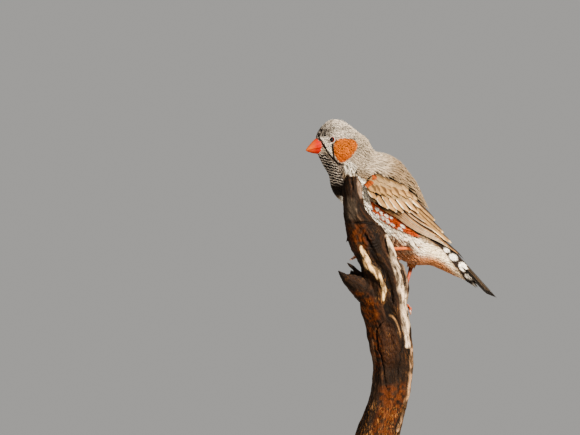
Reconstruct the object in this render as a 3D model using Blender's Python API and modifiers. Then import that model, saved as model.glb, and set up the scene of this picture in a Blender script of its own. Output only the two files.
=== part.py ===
"""A male zebra finch, life size, gripping a cut length of weathered branch on a plain display stand.

Metres, +Z up. The bird faces -X and turns its left side to -Y. The origin is the middle of the stand's
underside. Sizes below are written in millimetres and turned to metres where a mesh is made.
"""

import math
import random

import bmesh
import bpy
import numpy as np
from mathutils import Matrix, Vector

MM = 0.001
TOUCH_GAP = 0.3
SEED = 12

# The body's form, from the face to the tail's end. Each station is a slice across the body, seen from the side: the
# back point (x, z), the belly point (x, z), the half width, and how far the slice is fuller above (+) or below (-).
BODY_STATIONS = (
    (-37.1, 153.6, -36.3, 145.6, 0.8, 0.00),
    (-36.0, 155.9, -35.5, 144.2, 2.2, 0.15),
    (-34.2, 158.3, -34.4, 141.9, 3.3, 0.25),
    (-31.8, 160.1, -33.0, 139.5, 5.0, 0.28),
    (-28.6, 160.8, -31.5, 137.0, 6.9, 0.25),
    (-23.8, 159.3, -30.8, 134.2, 8.3, 0.20),
    (-18.9, 155.5, -30.1, 131.1, 9.3, 0.14),
    (-14.4, 152.1, -28.4, 128.0, 10.2, 0.10),
    (-11.4, 146.9, -25.5, 124.7, 11.6, 0.08),
    (-6.0, 145.0, -22.9, 120.3, 12.9, 0.08),
    (-0.6, 140.7, -18.9, 115.0, 13.9, 0.08),
    (3.1, 135.3, -14.1, 110.4, 14.3, 0.10),
    (6.4, 129.8, -8.8, 107.1, 14.0, 0.10),
    (9.0, 124.1, -3.9, 103.0, 12.9, 0.10),
    (11.9, 118.6, 1.4, 99.2, 11.3, 0.08),
    (15.0, 113.5, 7.6, 97.3, 9.4, 0.05),
    (18.3, 108.9, 13.3, 97.2, 7.6, 0.0),
    (21.8, 104.9, 18.9, 95.0, 6.2, 0.0),
    (25.5, 101.0, 24.0, 92.6, 5.3, 0.0),
    (28.8, 97.0, 27.4, 91.3, 4.4, 0.0),
    (32.0, 93.2, 30.1, 89.6, 3.6, 0.0),
    (36.8, 88.0, 35.2, 86.0, 3.4, 0.0),
    (42.2, 82.4, 40.9, 81.4, 3.0, 0.0),
)
BODY_SIDES = 24
RINGS_PER_STATION = 2
TAIL_ROOT_END = 20.2

# Where the body is parted, each a line in the side view from the back to the front or belly.
HEAD_CUT = ((-13.6, 148.0), (-32.6, 138.4))
NECK_CUT = ((-8.4, 145.4), (-30.4, 130.9))
RUMP_CUT = ((21.8, 104.9), (18.9, 95.0))

# The bill, from inside the face to the tip: culmen (x, z), cutting edge (x, z), chin line (x, z), half width.
BILL_STATIONS = (
    (-34.5, 154.0, -32.1, 149.2, -31.5, 145.6, 3.3),
    (-36.0, 153.4, -33.7, 148.8, -32.8, 145.8, 3.25),
    (-38.1, 151.8, -36.1, 148.3, -35.3, 145.8, 2.65),
    (-39.8, 149.9, -38.6, 147.9, -38.2, 146.1, 1.85),
    (-41.0, 148.4, -40.3, 147.6, -40.0, 146.6, 0.95),
    (-41.5, 147.4, -41.3, 147.3, -41.0, 147.0, 0.22),
)
BILL_ARCH_POINTS = 9

EYE_STATION, EYE_ANGLE = 3.93, 75.0
EYE_RADIUS = 1.6
EYE_SHOWN_RADIUS = 1.12
LID_THICKNESS = 0.38
NOSTRIL_RADIUS = 0.5

VANE_THICKNESS = 0.5
WING_LIMIT = 18.0

# The perch: a length of dead branch. Height, middle (x, y), half width along x, half depth along y.
PERCH_STATIONS = (
    (20.0, -11.0, -4.0, 9.7, 8.8),
    (28.8, -8.4, -4.0, 9.2, 8.4),
    (36.7, -5.6, -4.0, 8.7, 8.0),
    (44.2, -4.1, -4.0, 8.5, 7.8),
    (53.0, -3.3, -4.4, 8.4, 7.8),
    (61.8, -4.4, -5.4, 9.2, 8.2),
    (70.6, -5.6, -6.4, 9.6, 8.4),
    (78.1, -7.2, -7.8, 10.0, 8.6),
    (86.0, -7.5, -9.3, 9.9, 8.2),
    (93.9, -7.9, -11.5, 8.8, 7.4),
    (100.1, -10.6, -13.3, 8.4, 6.9),
    (105.8, -13.0, -14.8, 8.8, 6.6),
    (111.5, -14.7, -15.8, 8.5, 6.0),
    (115.9, -17.3, -15.8, 6.7, 5.2),
    (121.2, -19.9, -15.4, 5.0, 4.4),
    (126.9, -20.8, -15.2, 4.3, 3.8),
    (132.2, -21.0, -14.8, 4.0, 3.4),
    (136.0, -21.4, -14.4, 2.4, 2.0),
)
PERCH_SIDES = 19
PERCH_RINGS = 24
PERCH_CUT_HEIGHT = 20.0

STAND_RADIUS = 48.0
STAND_THICKNESS = 8.0
STAND_EDGE = 1.2
ROD_RADIUS = 3.0

COLOURS = {
    "grey_plumage": (0.42, 0.40, 0.37, 0.85, 0.0),
    "brown_plumage": (0.36, 0.28, 0.19, 0.8, 0.0),
    "dark_plumage": (0.06, 0.05, 0.05, 0.7, 0.0),
    "bill_orange": (0.85, 0.12, 0.02, 0.35, 0.0),
    "eye_red": (0.18, 0.01, 0.01, 0.1, 0.0),
    "leg_orange": (0.75, 0.25, 0.12, 0.5, 0.0),
    "claw_horn": (0.35, 0.22, 0.18, 0.4, 0.0),
    "dead_wood": (0.20, 0.09, 0.04, 0.85, 0.0),
    "stand_wood": (0.10, 0.07, 0.05, 0.5, 0.0),
    "rod_steel": (0.55, 0.55, 0.55, 0.35, 1.0),
}


def clear_scene():
    for obj in list(bpy.data.objects):
        bpy.data.objects.remove(obj)


def make_collection(name):
    collection = bpy.data.collections.new(name)
    bpy.context.scene.collection.children.link(collection)
    return collection


def material(name):
    made = bpy.data.materials.get(name)
    if made:
        return made
    made = bpy.data.materials.new(name)
    made.use_nodes = True
    shader = made.node_tree.nodes["Principled BSDF"]
    red, green, blue, roughness, metallic = COLOURS[name]
    shader.inputs["Base Color"].default_value = (red, green, blue, 1.0)
    shader.inputs["Roughness"].default_value = roughness
    shader.inputs["Metallic"].default_value = metallic
    return made


def spline(rows, u):
    """The row at place u of a table, on a smooth curve through its rows."""
    u = min(max(u, 0.0), len(rows) - 1.0)
    i = min(int(u), len(rows) - 2)
    t = u - i
    before, here, ahead, after = (np.array(rows[min(max(k, 0), len(rows) - 1)]) for k in (i - 1, i, i + 1, i + 2))
    return 0.5 * (
        2 * here
        + (ahead - before) * t
        + (2 * before - 5 * here + 4 * ahead - after) * t * t
        + (3 * here - before - 3 * ahead + after) * t**3
    )


def on_body(u, angle, lift=0.0):
    """A point of the body's form, in mm. u counts stations; angle, in degrees, runs from the back down the left side."""
    top_x, top_z, low_x, low_z, half_width, fuller = spline(BODY_STATIONS, u)
    middle = np.array([(top_x + low_x) / 2, (top_z + low_z) / 2])
    up = np.array([top_x - low_x, top_z - low_z]) / 2
    half_height = math.hypot(*up)
    up = up / half_height
    a = math.radians(angle)
    x, z = middle + up * (half_height + lift) * math.cos(a)
    y = -(half_width + lift) * math.sin(a) * (1 + fuller * math.cos(a))
    return np.array([x, y, z])


def beside(x, z, lift, nearest=WING_LIMIT):
    """(u, angle) of the left side's point, lifted, that is seen at (x, z) from the side, no nearer the back's ridge."""

    def off_line(u):
        top_x, top_z, low_x, low_z = spline(BODY_STATIONS, u)[:4]
        return (top_x - low_x) * (z - low_z) - (top_z - low_z) * (x - low_x)

    low, high = 7.0, len(BODY_STATIONS) - 1.0
    for _ in range(40):
        mid = (low + high) / 2
        if off_line(mid) > 0:
            high = mid
        else:
            low = mid
    top_x, top_z, low_x, low_z = spline(BODY_STATIONS, low)[:4]
    up = np.array([top_x - low_x, top_z - low_z]) / 2
    half_height = math.hypot(*up)
    along = np.dot(np.array([x, z]) - [(top_x + low_x) / 2, (top_z + low_z) / 2], up / half_height)
    angle = math.degrees(math.acos(min(max(along / (half_height + lift), -1.0), 1.0)))
    return low, max(angle, nearest)


def solid(name, points, faces, look, collection, smooth=True):
    """A closed mesh object from points in mm."""
    mesh = bpy.data.meshes.new(name)
    mesh.from_pydata([tuple(float(c) * MM for c in p) for p in points], [], faces)
    mesh.materials.append(material(look))
    if smooth:
        mesh.shade_smooth()
    obj = bpy.data.objects.new(name, mesh)
    collection.objects.link(obj)
    return obj


def loft(name, rings, look, collection):
    """A closed skin through rings of equal count, with a fan at each end, faces outward."""
    count = len(rings[0])
    points = [p for ring in rings for p in ring]
    faces = []
    for i in range(len(rings) - 1):
        for j in range(count):
            k = (j + 1) % count
            faces.append((i * count + j, i * count + k, (i + 1) * count + k, (i + 1) * count + j))
    last = (len(rings) - 1) * count
    points += [np.mean(rings[0], axis=0), np.mean(rings[-1], axis=0)]
    faces += [(len(points) - 2, (j + 1) % count, j) for j in range(count)]
    faces += [(len(points) - 1, last + j, last + (j + 1) % count) for j in range(count)]
    obj = solid(name, points, faces, look, collection)
    face_outward(obj)
    return obj


def face_outward(obj):
    edit = bmesh.new()
    edit.from_mesh(obj.data)
    bmesh.ops.recalc_face_normals(edit, faces=edit.faces)
    if edit.calc_volume(signed=True) < 0:
        bmesh.ops.reverse_faces(edit, faces=edit.faces)
    edit.to_mesh(obj.data)
    edit.free()


def part_by_plane(obj, point, normal):
    """Keeps what lies behind the plane, and closes the cut."""
    edit = bmesh.new()
    edit.from_mesh(obj.data)
    cut = bmesh.ops.bisect_plane(
        edit,
        geom=[*edit.verts, *edit.edges, *edit.faces],
        plane_co=point,
        plane_no=normal,
        clear_outer=True,
    )
    rim = [e for e in cut["geom_cut"] if isinstance(e, bmesh.types.BMEdge)]
    filled = bmesh.ops.contextual_create(edit, geom=rim)["faces"]
    bmesh.ops.triangulate(edit, faces=filled)
    edit.to_mesh(obj.data)
    edit.free()
    face_outward(obj)


def combine(obj, others, operation, solver="EXACT"):
    """One Boolean of obj with a collection of closed meshes, applied, and then only the largest closed surface kept."""
    helpers = bpy.data.collections.new(obj.name + "_helpers")
    bpy.context.scene.collection.children.link(helpers)
    for other in others:
        for owner in list(other.users_collection):
            owner.objects.unlink(other)
        helpers.objects.link(other)
    modifier = obj.modifiers.new("combine", "BOOLEAN")
    modifier.operation = operation
    modifier.operand_type = "COLLECTION"
    modifier.collection = helpers
    modifier.solver = solver
    graph = bpy.context.evaluated_depsgraph_get()
    made = bpy.data.meshes.new_from_object(obj.evaluated_get(graph))
    obj.modifiers.clear()
    obj.data = made
    for other in others:
        bpy.data.objects.remove(other)
    bpy.data.collections.remove(helpers)
    keep_largest(obj)


def keep_largest(obj):
    edit = bmesh.new()
    edit.from_mesh(obj.data)
    left, shells = set(edit.verts), []
    while left:
        start = left.pop()
        shell, edge_of = {start}, [start]
        while edge_of:
            vert = edge_of.pop()
            for edge in vert.link_edges:
                other = edge.other_vert(vert)
                if other not in shell:
                    shell.add(other)
                    edge_of.append(other)
        left -= shell
        shells.append(shell)
    shells.sort(key=lambda shell: -box_size(shell))
    loose = [v for shell in shells[1:] for v in shell]
    bmesh.ops.delete(edit, geom=loose, context="VERTS")
    edit.to_mesh(obj.data)
    edit.free()


def box_size(verts):
    places = np.array([v.co for v in verts])
    return float(np.prod(places.max(0) - places.min(0) + MM * 0.01))


def tube(name, places, radii, look, collection, sides=8):
    """A round tapered tube along places in mm, as a bevelled curve made a closed mesh."""
    data = bpy.data.curves.new(name, "CURVE")
    data.dimensions = "3D"
    data.bevel_depth = MM
    data.bevel_resolution = sides // 2 - 2
    data.use_fill_caps = True
    line = data.splines.new("POLY")
    line.points.add(len(places) - 1)
    for point, place, radius in zip(line.points, places, radii):
        point.co = (*(float(c) * MM for c in place), 1.0)
        point.radius = float(radius)
    guide = bpy.data.objects.new(name + "_line", data)
    collection.objects.link(guide)
    bpy.context.view_layer.update()
    graph = bpy.context.evaluated_depsgraph_get()
    mesh = bpy.data.meshes.new_from_object(guide.evaluated_get(graph))
    edit = bmesh.new()
    edit.from_mesh(mesh)
    bmesh.ops.remove_doubles(edit, verts=edit.verts, dist=0.01 * MM)
    bmesh.ops.recalc_face_normals(edit, faces=edit.faces)
    edit.to_mesh(mesh)
    edit.free()
    bpy.data.objects.remove(guide)
    mesh.name = name
    mesh.materials.clear()
    mesh.materials.append(material(look))
    obj = bpy.data.objects.new(name, mesh)
    collection.objects.link(obj)
    face_outward(obj)
    return obj


def smooth_path(places, count):
    """Points on a smooth curve through a few places."""
    rows = [tuple(map(float, p)) for p in places]
    return [spline(rows, (len(rows) - 1) * i / (count - 1)) for i in range(count)]


def blade(name, upper, lower, columns, look, collection):
    """A thin closed sheet from two grids of points, the same triangles on both faces."""
    count = len(upper)
    faces = []
    for i in range(count // columns - 1):
        for j in range(columns - 1):
            a, b = i * columns + j, i * columns + j + 1
            c, d = b + columns, a + columns
            faces += [(a, b, c), (a, c, d), (count + c, count + b, count + a), (count + d, count + c, count + a)]
    rim = list(range(columns))
    rim += [i * columns + columns - 1 for i in range(1, count // columns)]
    rim += list(range(count - 2, count - columns - 1, -1))
    rim += [i * columns for i in range(count // columns - 2, 0, -1)]
    for a, b in zip(rim, rim[1:] + rim[:1]):
        faces += [(b, a, count + a), (b, count + a, count + b)]
    obj = solid(name, upper + lower, faces, look, collection, smooth=False)
    face_outward(obj)
    return obj


LONG_VANE = ((0.0, 0.55), (0.3, 0.9), (0.65, 1.0), (0.9, 0.72), (1.0, 0.2))
SHORT_VANE = ((0.0, 0.6), (0.5, 1.0), (0.85, 0.8), (1.0, 0.24))
MANTLE_VANE = ((0.0, 0.6), (0.42, 0.97), (0.82, 0.85), (1.0, 0.28))


def vane(name, route, width, lifts, roll, look, collection, mirrored=False, outline=LONG_VANE, columns=2):
    """One feather as a thin blade over the body's form.

    route(s) gives (u, angle) from root to tip. lifts are heights over the form at root, one third, two thirds and tip.
    roll raises the edge nearer the belly and sinks the other, in mm of height for each mm of width.
    """
    upper, lower = [], []
    for s, share in outline:
        u, angle = route(s)
        lift = float(np.interp(s, (0.0, 0.33, 0.67, 1.0), lifts))
        here = on_body(u, angle, lift)
        step_u = (on_body(u + 0.02, angle, lift) - here) / 0.02
        step_angle = (on_body(u, angle + 0.5, lift) - here) / 0.5
        ahead, behind = route(min(s + 0.02, 1.0)), route(max(s - 0.02, 0.0))
        along = on_body(*ahead, lift) - on_body(*behind, lift)
        out = np.cross(step_angle, step_u)
        across = np.cross(out, along)
        across /= np.linalg.norm(across)
        basis = np.stack([step_u, step_angle], axis=1)
        per_mm = np.linalg.lstsq(basis, across, rcond=None)[0]
        for a in np.linspace(-1, 1, columns):
            reach = a * share * width / 2
            height = lift - roll * reach - (0.12 * abs(a) if columns > 2 else 0.0)
            place = (u + per_mm[0] * reach, angle + per_mm[1] * reach)
            upper.append(on_body(*place, height + VANE_THICKNESS / 2))
            lower.append(on_body(*place, height - VANE_THICKNESS / 2))
    if mirrored:
        upper = [p * (1, -1, 1) for p in upper]
        lower = [p * (1, -1, 1) for p in lower]
    return blade(name, upper, lower, columns, look, collection)


def straight(start, end):
    """A route straight from one (u, angle) to another."""
    return lambda s: tuple(np.array(start) + (np.array(end) - start) * s)


def seen_line(start, end, lift, sag=0.0):
    """A route that is a straight line in the side view, from (x, z) to (x, z), or bows towards the belly by sag."""
    start, end = np.array(start, float), np.array(end, float)
    along = (end - start) / np.linalg.norm(end - start)
    down = np.array([along[1], -along[0]])

    def route(s):
        x, z = start + (end - start) * s + down * sag * math.sin(math.pi * s)
        return beside(x, z, lift)

    return route


def between(start, end, share):
    return tuple(np.array(start) + (np.array(end) - start) * share)


def body_form(name, first, last, lift, collection, look="grey_plumage", sides=BODY_SIDES):
    steps = int(round((last - first) * RINGS_PER_STATION))
    rings = []
    for i in range(steps + 1):
        u = first + (last - first) * i / steps
        rings.append([on_body(u, 360.0 * k / sides, lift) for k in range(sides)])
    return loft(name, rings, look, collection)


def cut_plane(line, forward, offset):
    """A plane across the body through a line of the side view. forward +1 faces the tail, -1 the bill."""
    (x1, z1), (x2, z2) = line
    along = Vector((x2 - x1, 0, z2 - z1)).normalized()
    towards_tail = Vector((-along.z, 0, along.x))
    if towards_tail.x < 0:
        towards_tail = -towards_tail
    normal = towards_tail * forward
    point = Vector((x1, 0, z1)) * MM - normal * offset * MM
    return point, normal


def bill_rings(part, grow=0.0):
    """Rings of the upper bill, the lower bill, or both in one with all sides grown."""
    rings = []
    for i, (top_x, top_z, edge_x, edge_z, low_x, low_z, half_width) in enumerate(BILL_STATIONS):
        top, edge, low = (np.array(p) for p in ((top_x, top_z), (edge_x, edge_z), (low_x, low_z)))
        arch = [math.pi * k / (BILL_ARCH_POINTS - 1) for k in range(BILL_ARCH_POINTS)]
        split = (TOUCH_GAP if part == "lower" else 0.0) * (1.0 if i < len(BILL_STATIONS) - 1 else 0.3)
        edge_here = edge - np.array([0, split])
        up = top - edge
        down = low - edge_here
        width = half_width * (0.94 if part == "lower" else 1.0) + grow
        up = up * (1 + grow / max(np.linalg.norm(up), 1))
        down = down * (1 + grow / max(np.linalg.norm(down), 1))
        upper = [(edge + up * math.sin(a) ** 0.85, width * math.cos(a)) for a in arch]
        lower = [(edge_here + down * math.sin(a) ** 0.7, width * math.cos(a)) for a in arch]
        if part == "upper":
            outline = upper
        elif part == "lower":
            outline = lower
        else:
            outline = upper + lower[-2:0:-1]
        rings.append([np.array([p[0], y, p[1]]) for p, y in outline])
    if part == "pocket":
        first, second = np.array(rings[0]), np.array(rings[1])
        inward = (first.mean(0) - second.mean(0)) / np.linalg.norm(first.mean(0) - second.mean(0))
        rings[0] = list(first + inward * 3 * TOUCH_GAP)
    return rings


def eye_frame(side):
    """(point on the head's surface, outward direction) at one eye. side is -1 for the left."""
    here = on_body(EYE_STATION, EYE_ANGLE)
    out = np.cross(
        on_body(EYE_STATION, EYE_ANGLE + 1) - here,
        on_body(EYE_STATION + 0.05, EYE_ANGLE) - here,
    )
    out /= np.linalg.norm(out)
    if out[1] > 0:
        out = -out
    flip = np.array([1, -side, 1])
    return here * flip, out * flip


def eye_middle(side):
    here, out = eye_frame(side)
    return here - out * math.sqrt(EYE_RADIUS**2 - EYE_SHOWN_RADIUS**2)


def ball(name, middle, radius, look, collection, segments=14, rings=8, out=(0, 0, 1)):
    mesh = bpy.data.meshes.new(name)
    edit = bmesh.new()
    turn = Vector((0, 0, 1)).rotation_difference(Vector(out)).to_matrix().to_4x4()
    place = Matrix.Translation(Vector(middle) * MM) @ turn
    bmesh.ops.create_uvsphere(edit, u_segments=segments, v_segments=rings, radius=radius * MM, matrix=place)
    edit.to_mesh(mesh)
    edit.free()
    mesh.materials.append(material(look))
    mesh.shade_smooth()
    obj = bpy.data.objects.new(name, mesh)
    collection.objects.link(obj)
    return obj


def lid_ring(side, collection):
    """The bare rim round one eye, as a ring sunk half way in the head."""
    here, out = eye_frame(side)
    major = math.sqrt((EYE_RADIUS + TOUCH_GAP) ** 2 - EYE_RADIUS**2 + EYE_SHOWN_RADIUS**2) + LID_THICKNESS
    bpy.ops.mesh.primitive_torus_add(
        major_segments=16,
        minor_segments=4,
        major_radius=major * MM,
        minor_radius=LID_THICKNESS * MM,
        location=Vector(here) * MM,
        rotation=Vector((0, 0, 1)).rotation_difference(Vector(out)).to_euler(),
    )
    obj = bpy.context.active_object
    obj.data.transform(obj.matrix_world)
    obj.matrix_world = Matrix.Identity(4)
    return obj


def make_head_and_body(parts, cutters):
    """Head, neck and torso: one form parted by thin cuts, the head with its bill pocket, eye sockets and lids."""
    head = body_form("head", 0.0, 10.0, 0.0, parts)
    part_by_plane(head, *cut_plane(HEAD_CUT, 1, TOUCH_GAP / 2))
    neck = body_form("neck", 4.0, 12.0, 0.0, parts)
    part_by_plane(neck, *cut_plane(HEAD_CUT, -1, TOUCH_GAP / 2))
    part_by_plane(neck, *cut_plane(NECK_CUT, 1, TOUCH_GAP / 2))
    torso = body_form("torso", 6.0, 19.0, 0.0, parts)
    part_by_plane(torso, *cut_plane(NECK_CUT, -1, TOUCH_GAP / 2))
    part_by_plane(torso, *cut_plane(RUMP_CUT, 1, TOUCH_GAP / 2))

    combine(head, [lid_ring(side, cutters) for side in (-1, 1)], "UNION")
    sockets = []
    for side in (-1, 1):
        out = eye_frame(side)[1]
        sockets.append(ball(f"socket{side}", eye_middle(side), EYE_RADIUS + TOUCH_GAP, "grey_plumage", cutters, out=out))
    pocket = loft("pocket", bill_rings("pocket", TOUCH_GAP), "grey_plumage", cutters)
    combine(head, [*sockets, pocket], "DIFFERENCE", "MANIFOLD")
    return torso


def nostril_place(side):
    """On the upper bill's flank, just in front of the feathers."""
    flank = np.array(bill_rings("upper")[1]) * 0.75 + np.array(bill_rings("upper")[2]) * 0.25
    return flank[2] * (1, -side, 1)


def make_eyes_and_bill(parts, cutters):
    for name, side in (("eye_left", -1), ("eye_right", 1)):
        ball(name, eye_middle(side), EYE_RADIUS, "eye_red", parts, out=eye_frame(side)[1])
    upper = loft("bill_upper", bill_rings("upper"), "bill_orange", parts)
    loft("bill_lower", bill_rings("lower"), "bill_orange", parts)
    pits = []
    for side in (-1, 1):
        pits.append(ball(f"nostril{side}", nostril_place(side), NOSTRIL_RADIUS, "bill_orange", cutters, 8, 6))
    combine(upper, pits, "DIFFERENCE")


def mantle_vanes(collection):
    """The ruffled feathers of the back, in rows that overlap towards the tail, the outer ones lying over the wings."""
    rows = (
        (8.45, 10.0, (-58, 58)),
        (8.9, 10.2, (-35, -12, 12, 35)),
        (9.3, 11.0, (-50, -25, 0, 25, 50)),
        (10.1, 12.0, (-40, -14, 14, 40)),
        (10.9, 13.0, (-27, -9, 9, 27)),
        (11.8, 13.45, (-12, 12)),
    )
    draw = random.Random(SEED)
    made = []
    for root, tip, angles in rows:
        for angle in angles:
            spread = 1.08 + draw.uniform(-0.03, 0.03)
            end = tip + draw.uniform(-0.12, 0.12)
            over_wing = 0.5 if 38 < abs(angle) < 55 else 0.0
            tip_lift = 2.9 + over_wing + draw.uniform(-0.15, 0.35)
            lifts = (-0.7, 1.3 + over_wing, 2.3 + over_wing, tip_lift)
            if abs(angle) > 55:
                lifts = (-0.7, 0.9, 1.7, 2.2)
            route = straight((root, angle), (end, angle * spread))
            name = f"mantle{len(made)}"
            blade_of = {"outline": MANTLE_VANE, "columns": 3}
            made.append(vane(name, route, 5.6, lifts, 0.0, "grey_plumage", collection, **blade_of))
    return made


def wing_vanes(collection, mirrored):
    """The folded wing's feathers in their tiers, lowest tier first. Roots and tips are (x, z) in the side view."""
    draw = random.Random(SEED + 7 * mirrored)
    made = []

    def add(kind, root, tip, width, lifts, roll, sag=0.0, outline=LONG_VANE):
        tip = (tip[0] + draw.uniform(-0.15, 0.15), tip[1] + draw.uniform(-0.15, 0.15))
        route = seen_line(root, tip, lifts[1], sag)
        name = f"{kind}{len(made)}"
        made.append(vane(name, route, width, lifts, roll, "brown_plumage", collection, mirrored, outline))

    primaries = ((26.6, 100.0), (28.2, 99.8), (27.4, 101.2), (25.6, 102.6), (24.0, 103.9), (22.4, 105.0))
    for j, tip in enumerate(primaries):
        share = j / (len(primaries) - 1)
        root = between((-10.6, 123.6), (-4.6, 123.4), share)
        rise = 0.1 * j
        add("primary", root, tip, 3.0, (1.2, 1.45 + rise, 1.6 + rise, 1.6 + rise), 0.3, sag=1.3 * (1 - share))
    secondaries = 4
    for j in range(secondaries):
        share = j / (secondaries - 1)
        root = between((-4.0, 124.6), (1.2, 127.8), share)
        tip = between((20.8, 105.9), (21.2, 109.2), share)
        rise = 0.1 * j
        add("secondary", root, tip, 3.8, (1.2, 1.7 + rise, 1.9 + rise, 2.1 + rise), 0.3)
    for root, tip, lifts in (
        ((11.2, 67), (17.1, 23), (1.3, 2.1, 2.6, 2.9)),
        ((11.4, 64), (15.9, 21), (1.3, 2.1, 2.8, 3.2)),
        ((11.6, 60), (14.7, 22), (1.2, 1.9, 2.7, 3.3)),
    ):
        name = f"tertial{len(made)}"
        made.append(vane(name, straight(root, tip), 4.4, lifts, 0.12, "brown_plumage", collection, mirrored, columns=3))
    for root, tip in (((-13.2, 127.0), (-7.2, 120.9)), ((-12.2, 127.4), (-4.2, 118.9))):
        add("primary_covert", root, tip, 2.6, (1.0, 1.6, 1.9, 2.0), 0.3, outline=SHORT_VANE)
    greater = 6
    for j in range(greater):
        share = j / (greater - 1)
        root = between((-11.6, 128.6), (1.0, 130.2), share)
        tip_x = -7.4 + 15.4 * share
        tip = (tip_x, 118.9 + ((tip_x - 1.5) / 9.7) ** 2 * 4.3)
        add("greater_covert", root, tip, 3.4, (1.1, 1.9, 2.2, 2.4), 0.3, outline=SHORT_VANE)
    median = 5
    for j in range(median):
        share = j / (median - 1)
        root = between((-13.2, 130.6), (-1.6, 131.6), share)
        tip_x = -9.3 + 12.6 * share
        tip = (tip_x, 124.8 + ((tip_x + 2.0) / 8.0) ** 2 * 1.8)
        add("median_covert", root, tip, 3.4, (1.0, 1.6, 2.0, 2.3), 0.3, outline=SHORT_VANE)
    return made


def wing_arm(name, collection, mirrored):
    """The wing's own arm and hand under the small coverts: a flat lens on the body's side."""
    rows, columns = 7, 6
    wrist, end = np.array([-15.2, 131.4]), np.array([5.0, 125.2])
    along = (end - wrist) / np.linalg.norm(end - wrist)
    across = np.array([-along[1], along[0]])
    inner, outer = [], []
    for i in range(rows):
        s = i / (rows - 1)
        half = 4.5 * math.sqrt(max(1 - (2 * s - 1) ** 2, 0.03)) ** 0.8
        for j in range(columns):
            a = 2 * j / (columns - 1) - 1
            x, z = wrist + (end - wrist) * s + across * a * half
            thickness = 1.3 * math.sqrt(max(1 - a * a * 0.85, 0)) * (0.55 + 0.45 * math.sin(math.pi * s))
            u, angle = beside(x, z, 0.6)
            inner.append(on_body(u, angle, 0.6))
            outer.append(on_body(u, angle, 0.6 + thickness))
    if mirrored:
        inner = [p * (1, -1, 1) for p in inner]
        outer = [p * (1, -1, 1) for p in outer]
    return blade(name, outer, inner, columns, "brown_plumage", collection)


def make_wings(parts, cutters):
    for name, mirrored in (("wing_left", False), ("wing_right", True)):
        arm = wing_arm(name, parts, mirrored)
        combine(arm, wing_vanes(cutters, mirrored), "UNION")


def rectrix(name, pair, side, collection):
    """One long tail feather. Pairs are stacked, the middle pair on top."""
    root = np.array([22.6, 0.0, 100.0])
    tip = np.array([42.0, 0.0, 82.2])
    axis = (tip - root) / np.linalg.norm(tip - root)
    normal = np.array([-axis[2], 0.0, axis[0]])
    length = np.linalg.norm(tip - root) - 1.5 * pair
    roll = math.radians(9 + 3 * pair)
    across = np.array([0, side * math.cos(roll), 0]) - normal * math.sin(roll)
    upper, lower = [], []
    for s, share in ((0.0, 0.6), (0.5, 0.92), (0.93, 0.9), (1.0, 0.35)):
        aside = side * (1.15 + 0.72 * pair) * (0.8 + 0.35 * s)
        middle = root + axis * length * s + np.array([0, aside, 0]) - normal * 0.62 * pair
        for a in (-1, 1):
            place = middle + across * a * share * 2.2
            upper.append(place + normal * VANE_THICKNESS / 2)
            lower.append(place - normal * VANE_THICKNESS / 2)
    return blade(name, upper, lower, 2, "dark_plumage", collection)


def make_tail(parts, cutters):
    """The tail's root with its coverts, and the long feathers stacked under them."""
    tail = body_form("tail", 16.5, TAIL_ROOT_END, 0.0, parts, "dark_plumage", 14)
    part_by_plane(tail, *cut_plane(RUMP_CUT, -1, TOUCH_GAP / 2))
    pieces = [rectrix(f"rectrix{pair}{side}", pair, side, cutters) for pair in range(5) for side in (-1, 1)]
    coverts = ((24, 17.9, 19.9, 0.5), (56, 17.8, 20.2, 0.45), (88, 17.8, 20.6, 0.4), (120, 17.9, 20.9, 0.35))
    for angle, root, tip, lift in coverts:
        for side in (-1, 1):
            route = straight((root, angle), (tip, angle + 4))
            name = f"covert{angle}{side}"
            lifts = (-0.2, lift / 2, lift, lift)
            pieces.append(vane(name, route, 3.6, lifts, 0.0, "dark_plumage", cutters, side > 0, SHORT_VANE))
    combine(tail, pieces, "UNION", "MANIFOLD")


def perch_row(z):
    """The perch's stations hold the height first, so the place along them is found by height."""
    heights = [row[0] for row in PERCH_STATIONS]
    return spline(PERCH_STATIONS, float(np.interp(z, heights, range(len(heights)))))


def on_perch(z, angle, lift=0.0):
    """A point of the perch's grooved surface. angle 0 is +X, 90 the far side from the camera (+Y)."""
    _, x, y, half_width, half_depth = perch_row(z)
    a = math.radians(angle)
    fade = min(1.0, (138.0 - z) / 20.0)
    grooves = 0.055 * math.sin(3 * a + z * 0.045) + 0.04 * math.sin(7 * a - z * 0.07 + 1.0)
    swell = 1 + grooves * fade
    flat = 1.0 - 0.1 * max(0.0, math.sin(a)) ** 4
    return np.array([
        x + (half_width * swell + lift) * math.cos(a),
        y + (half_depth * swell * flat + lift) * math.sin(a),
        z,
    ])


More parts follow.
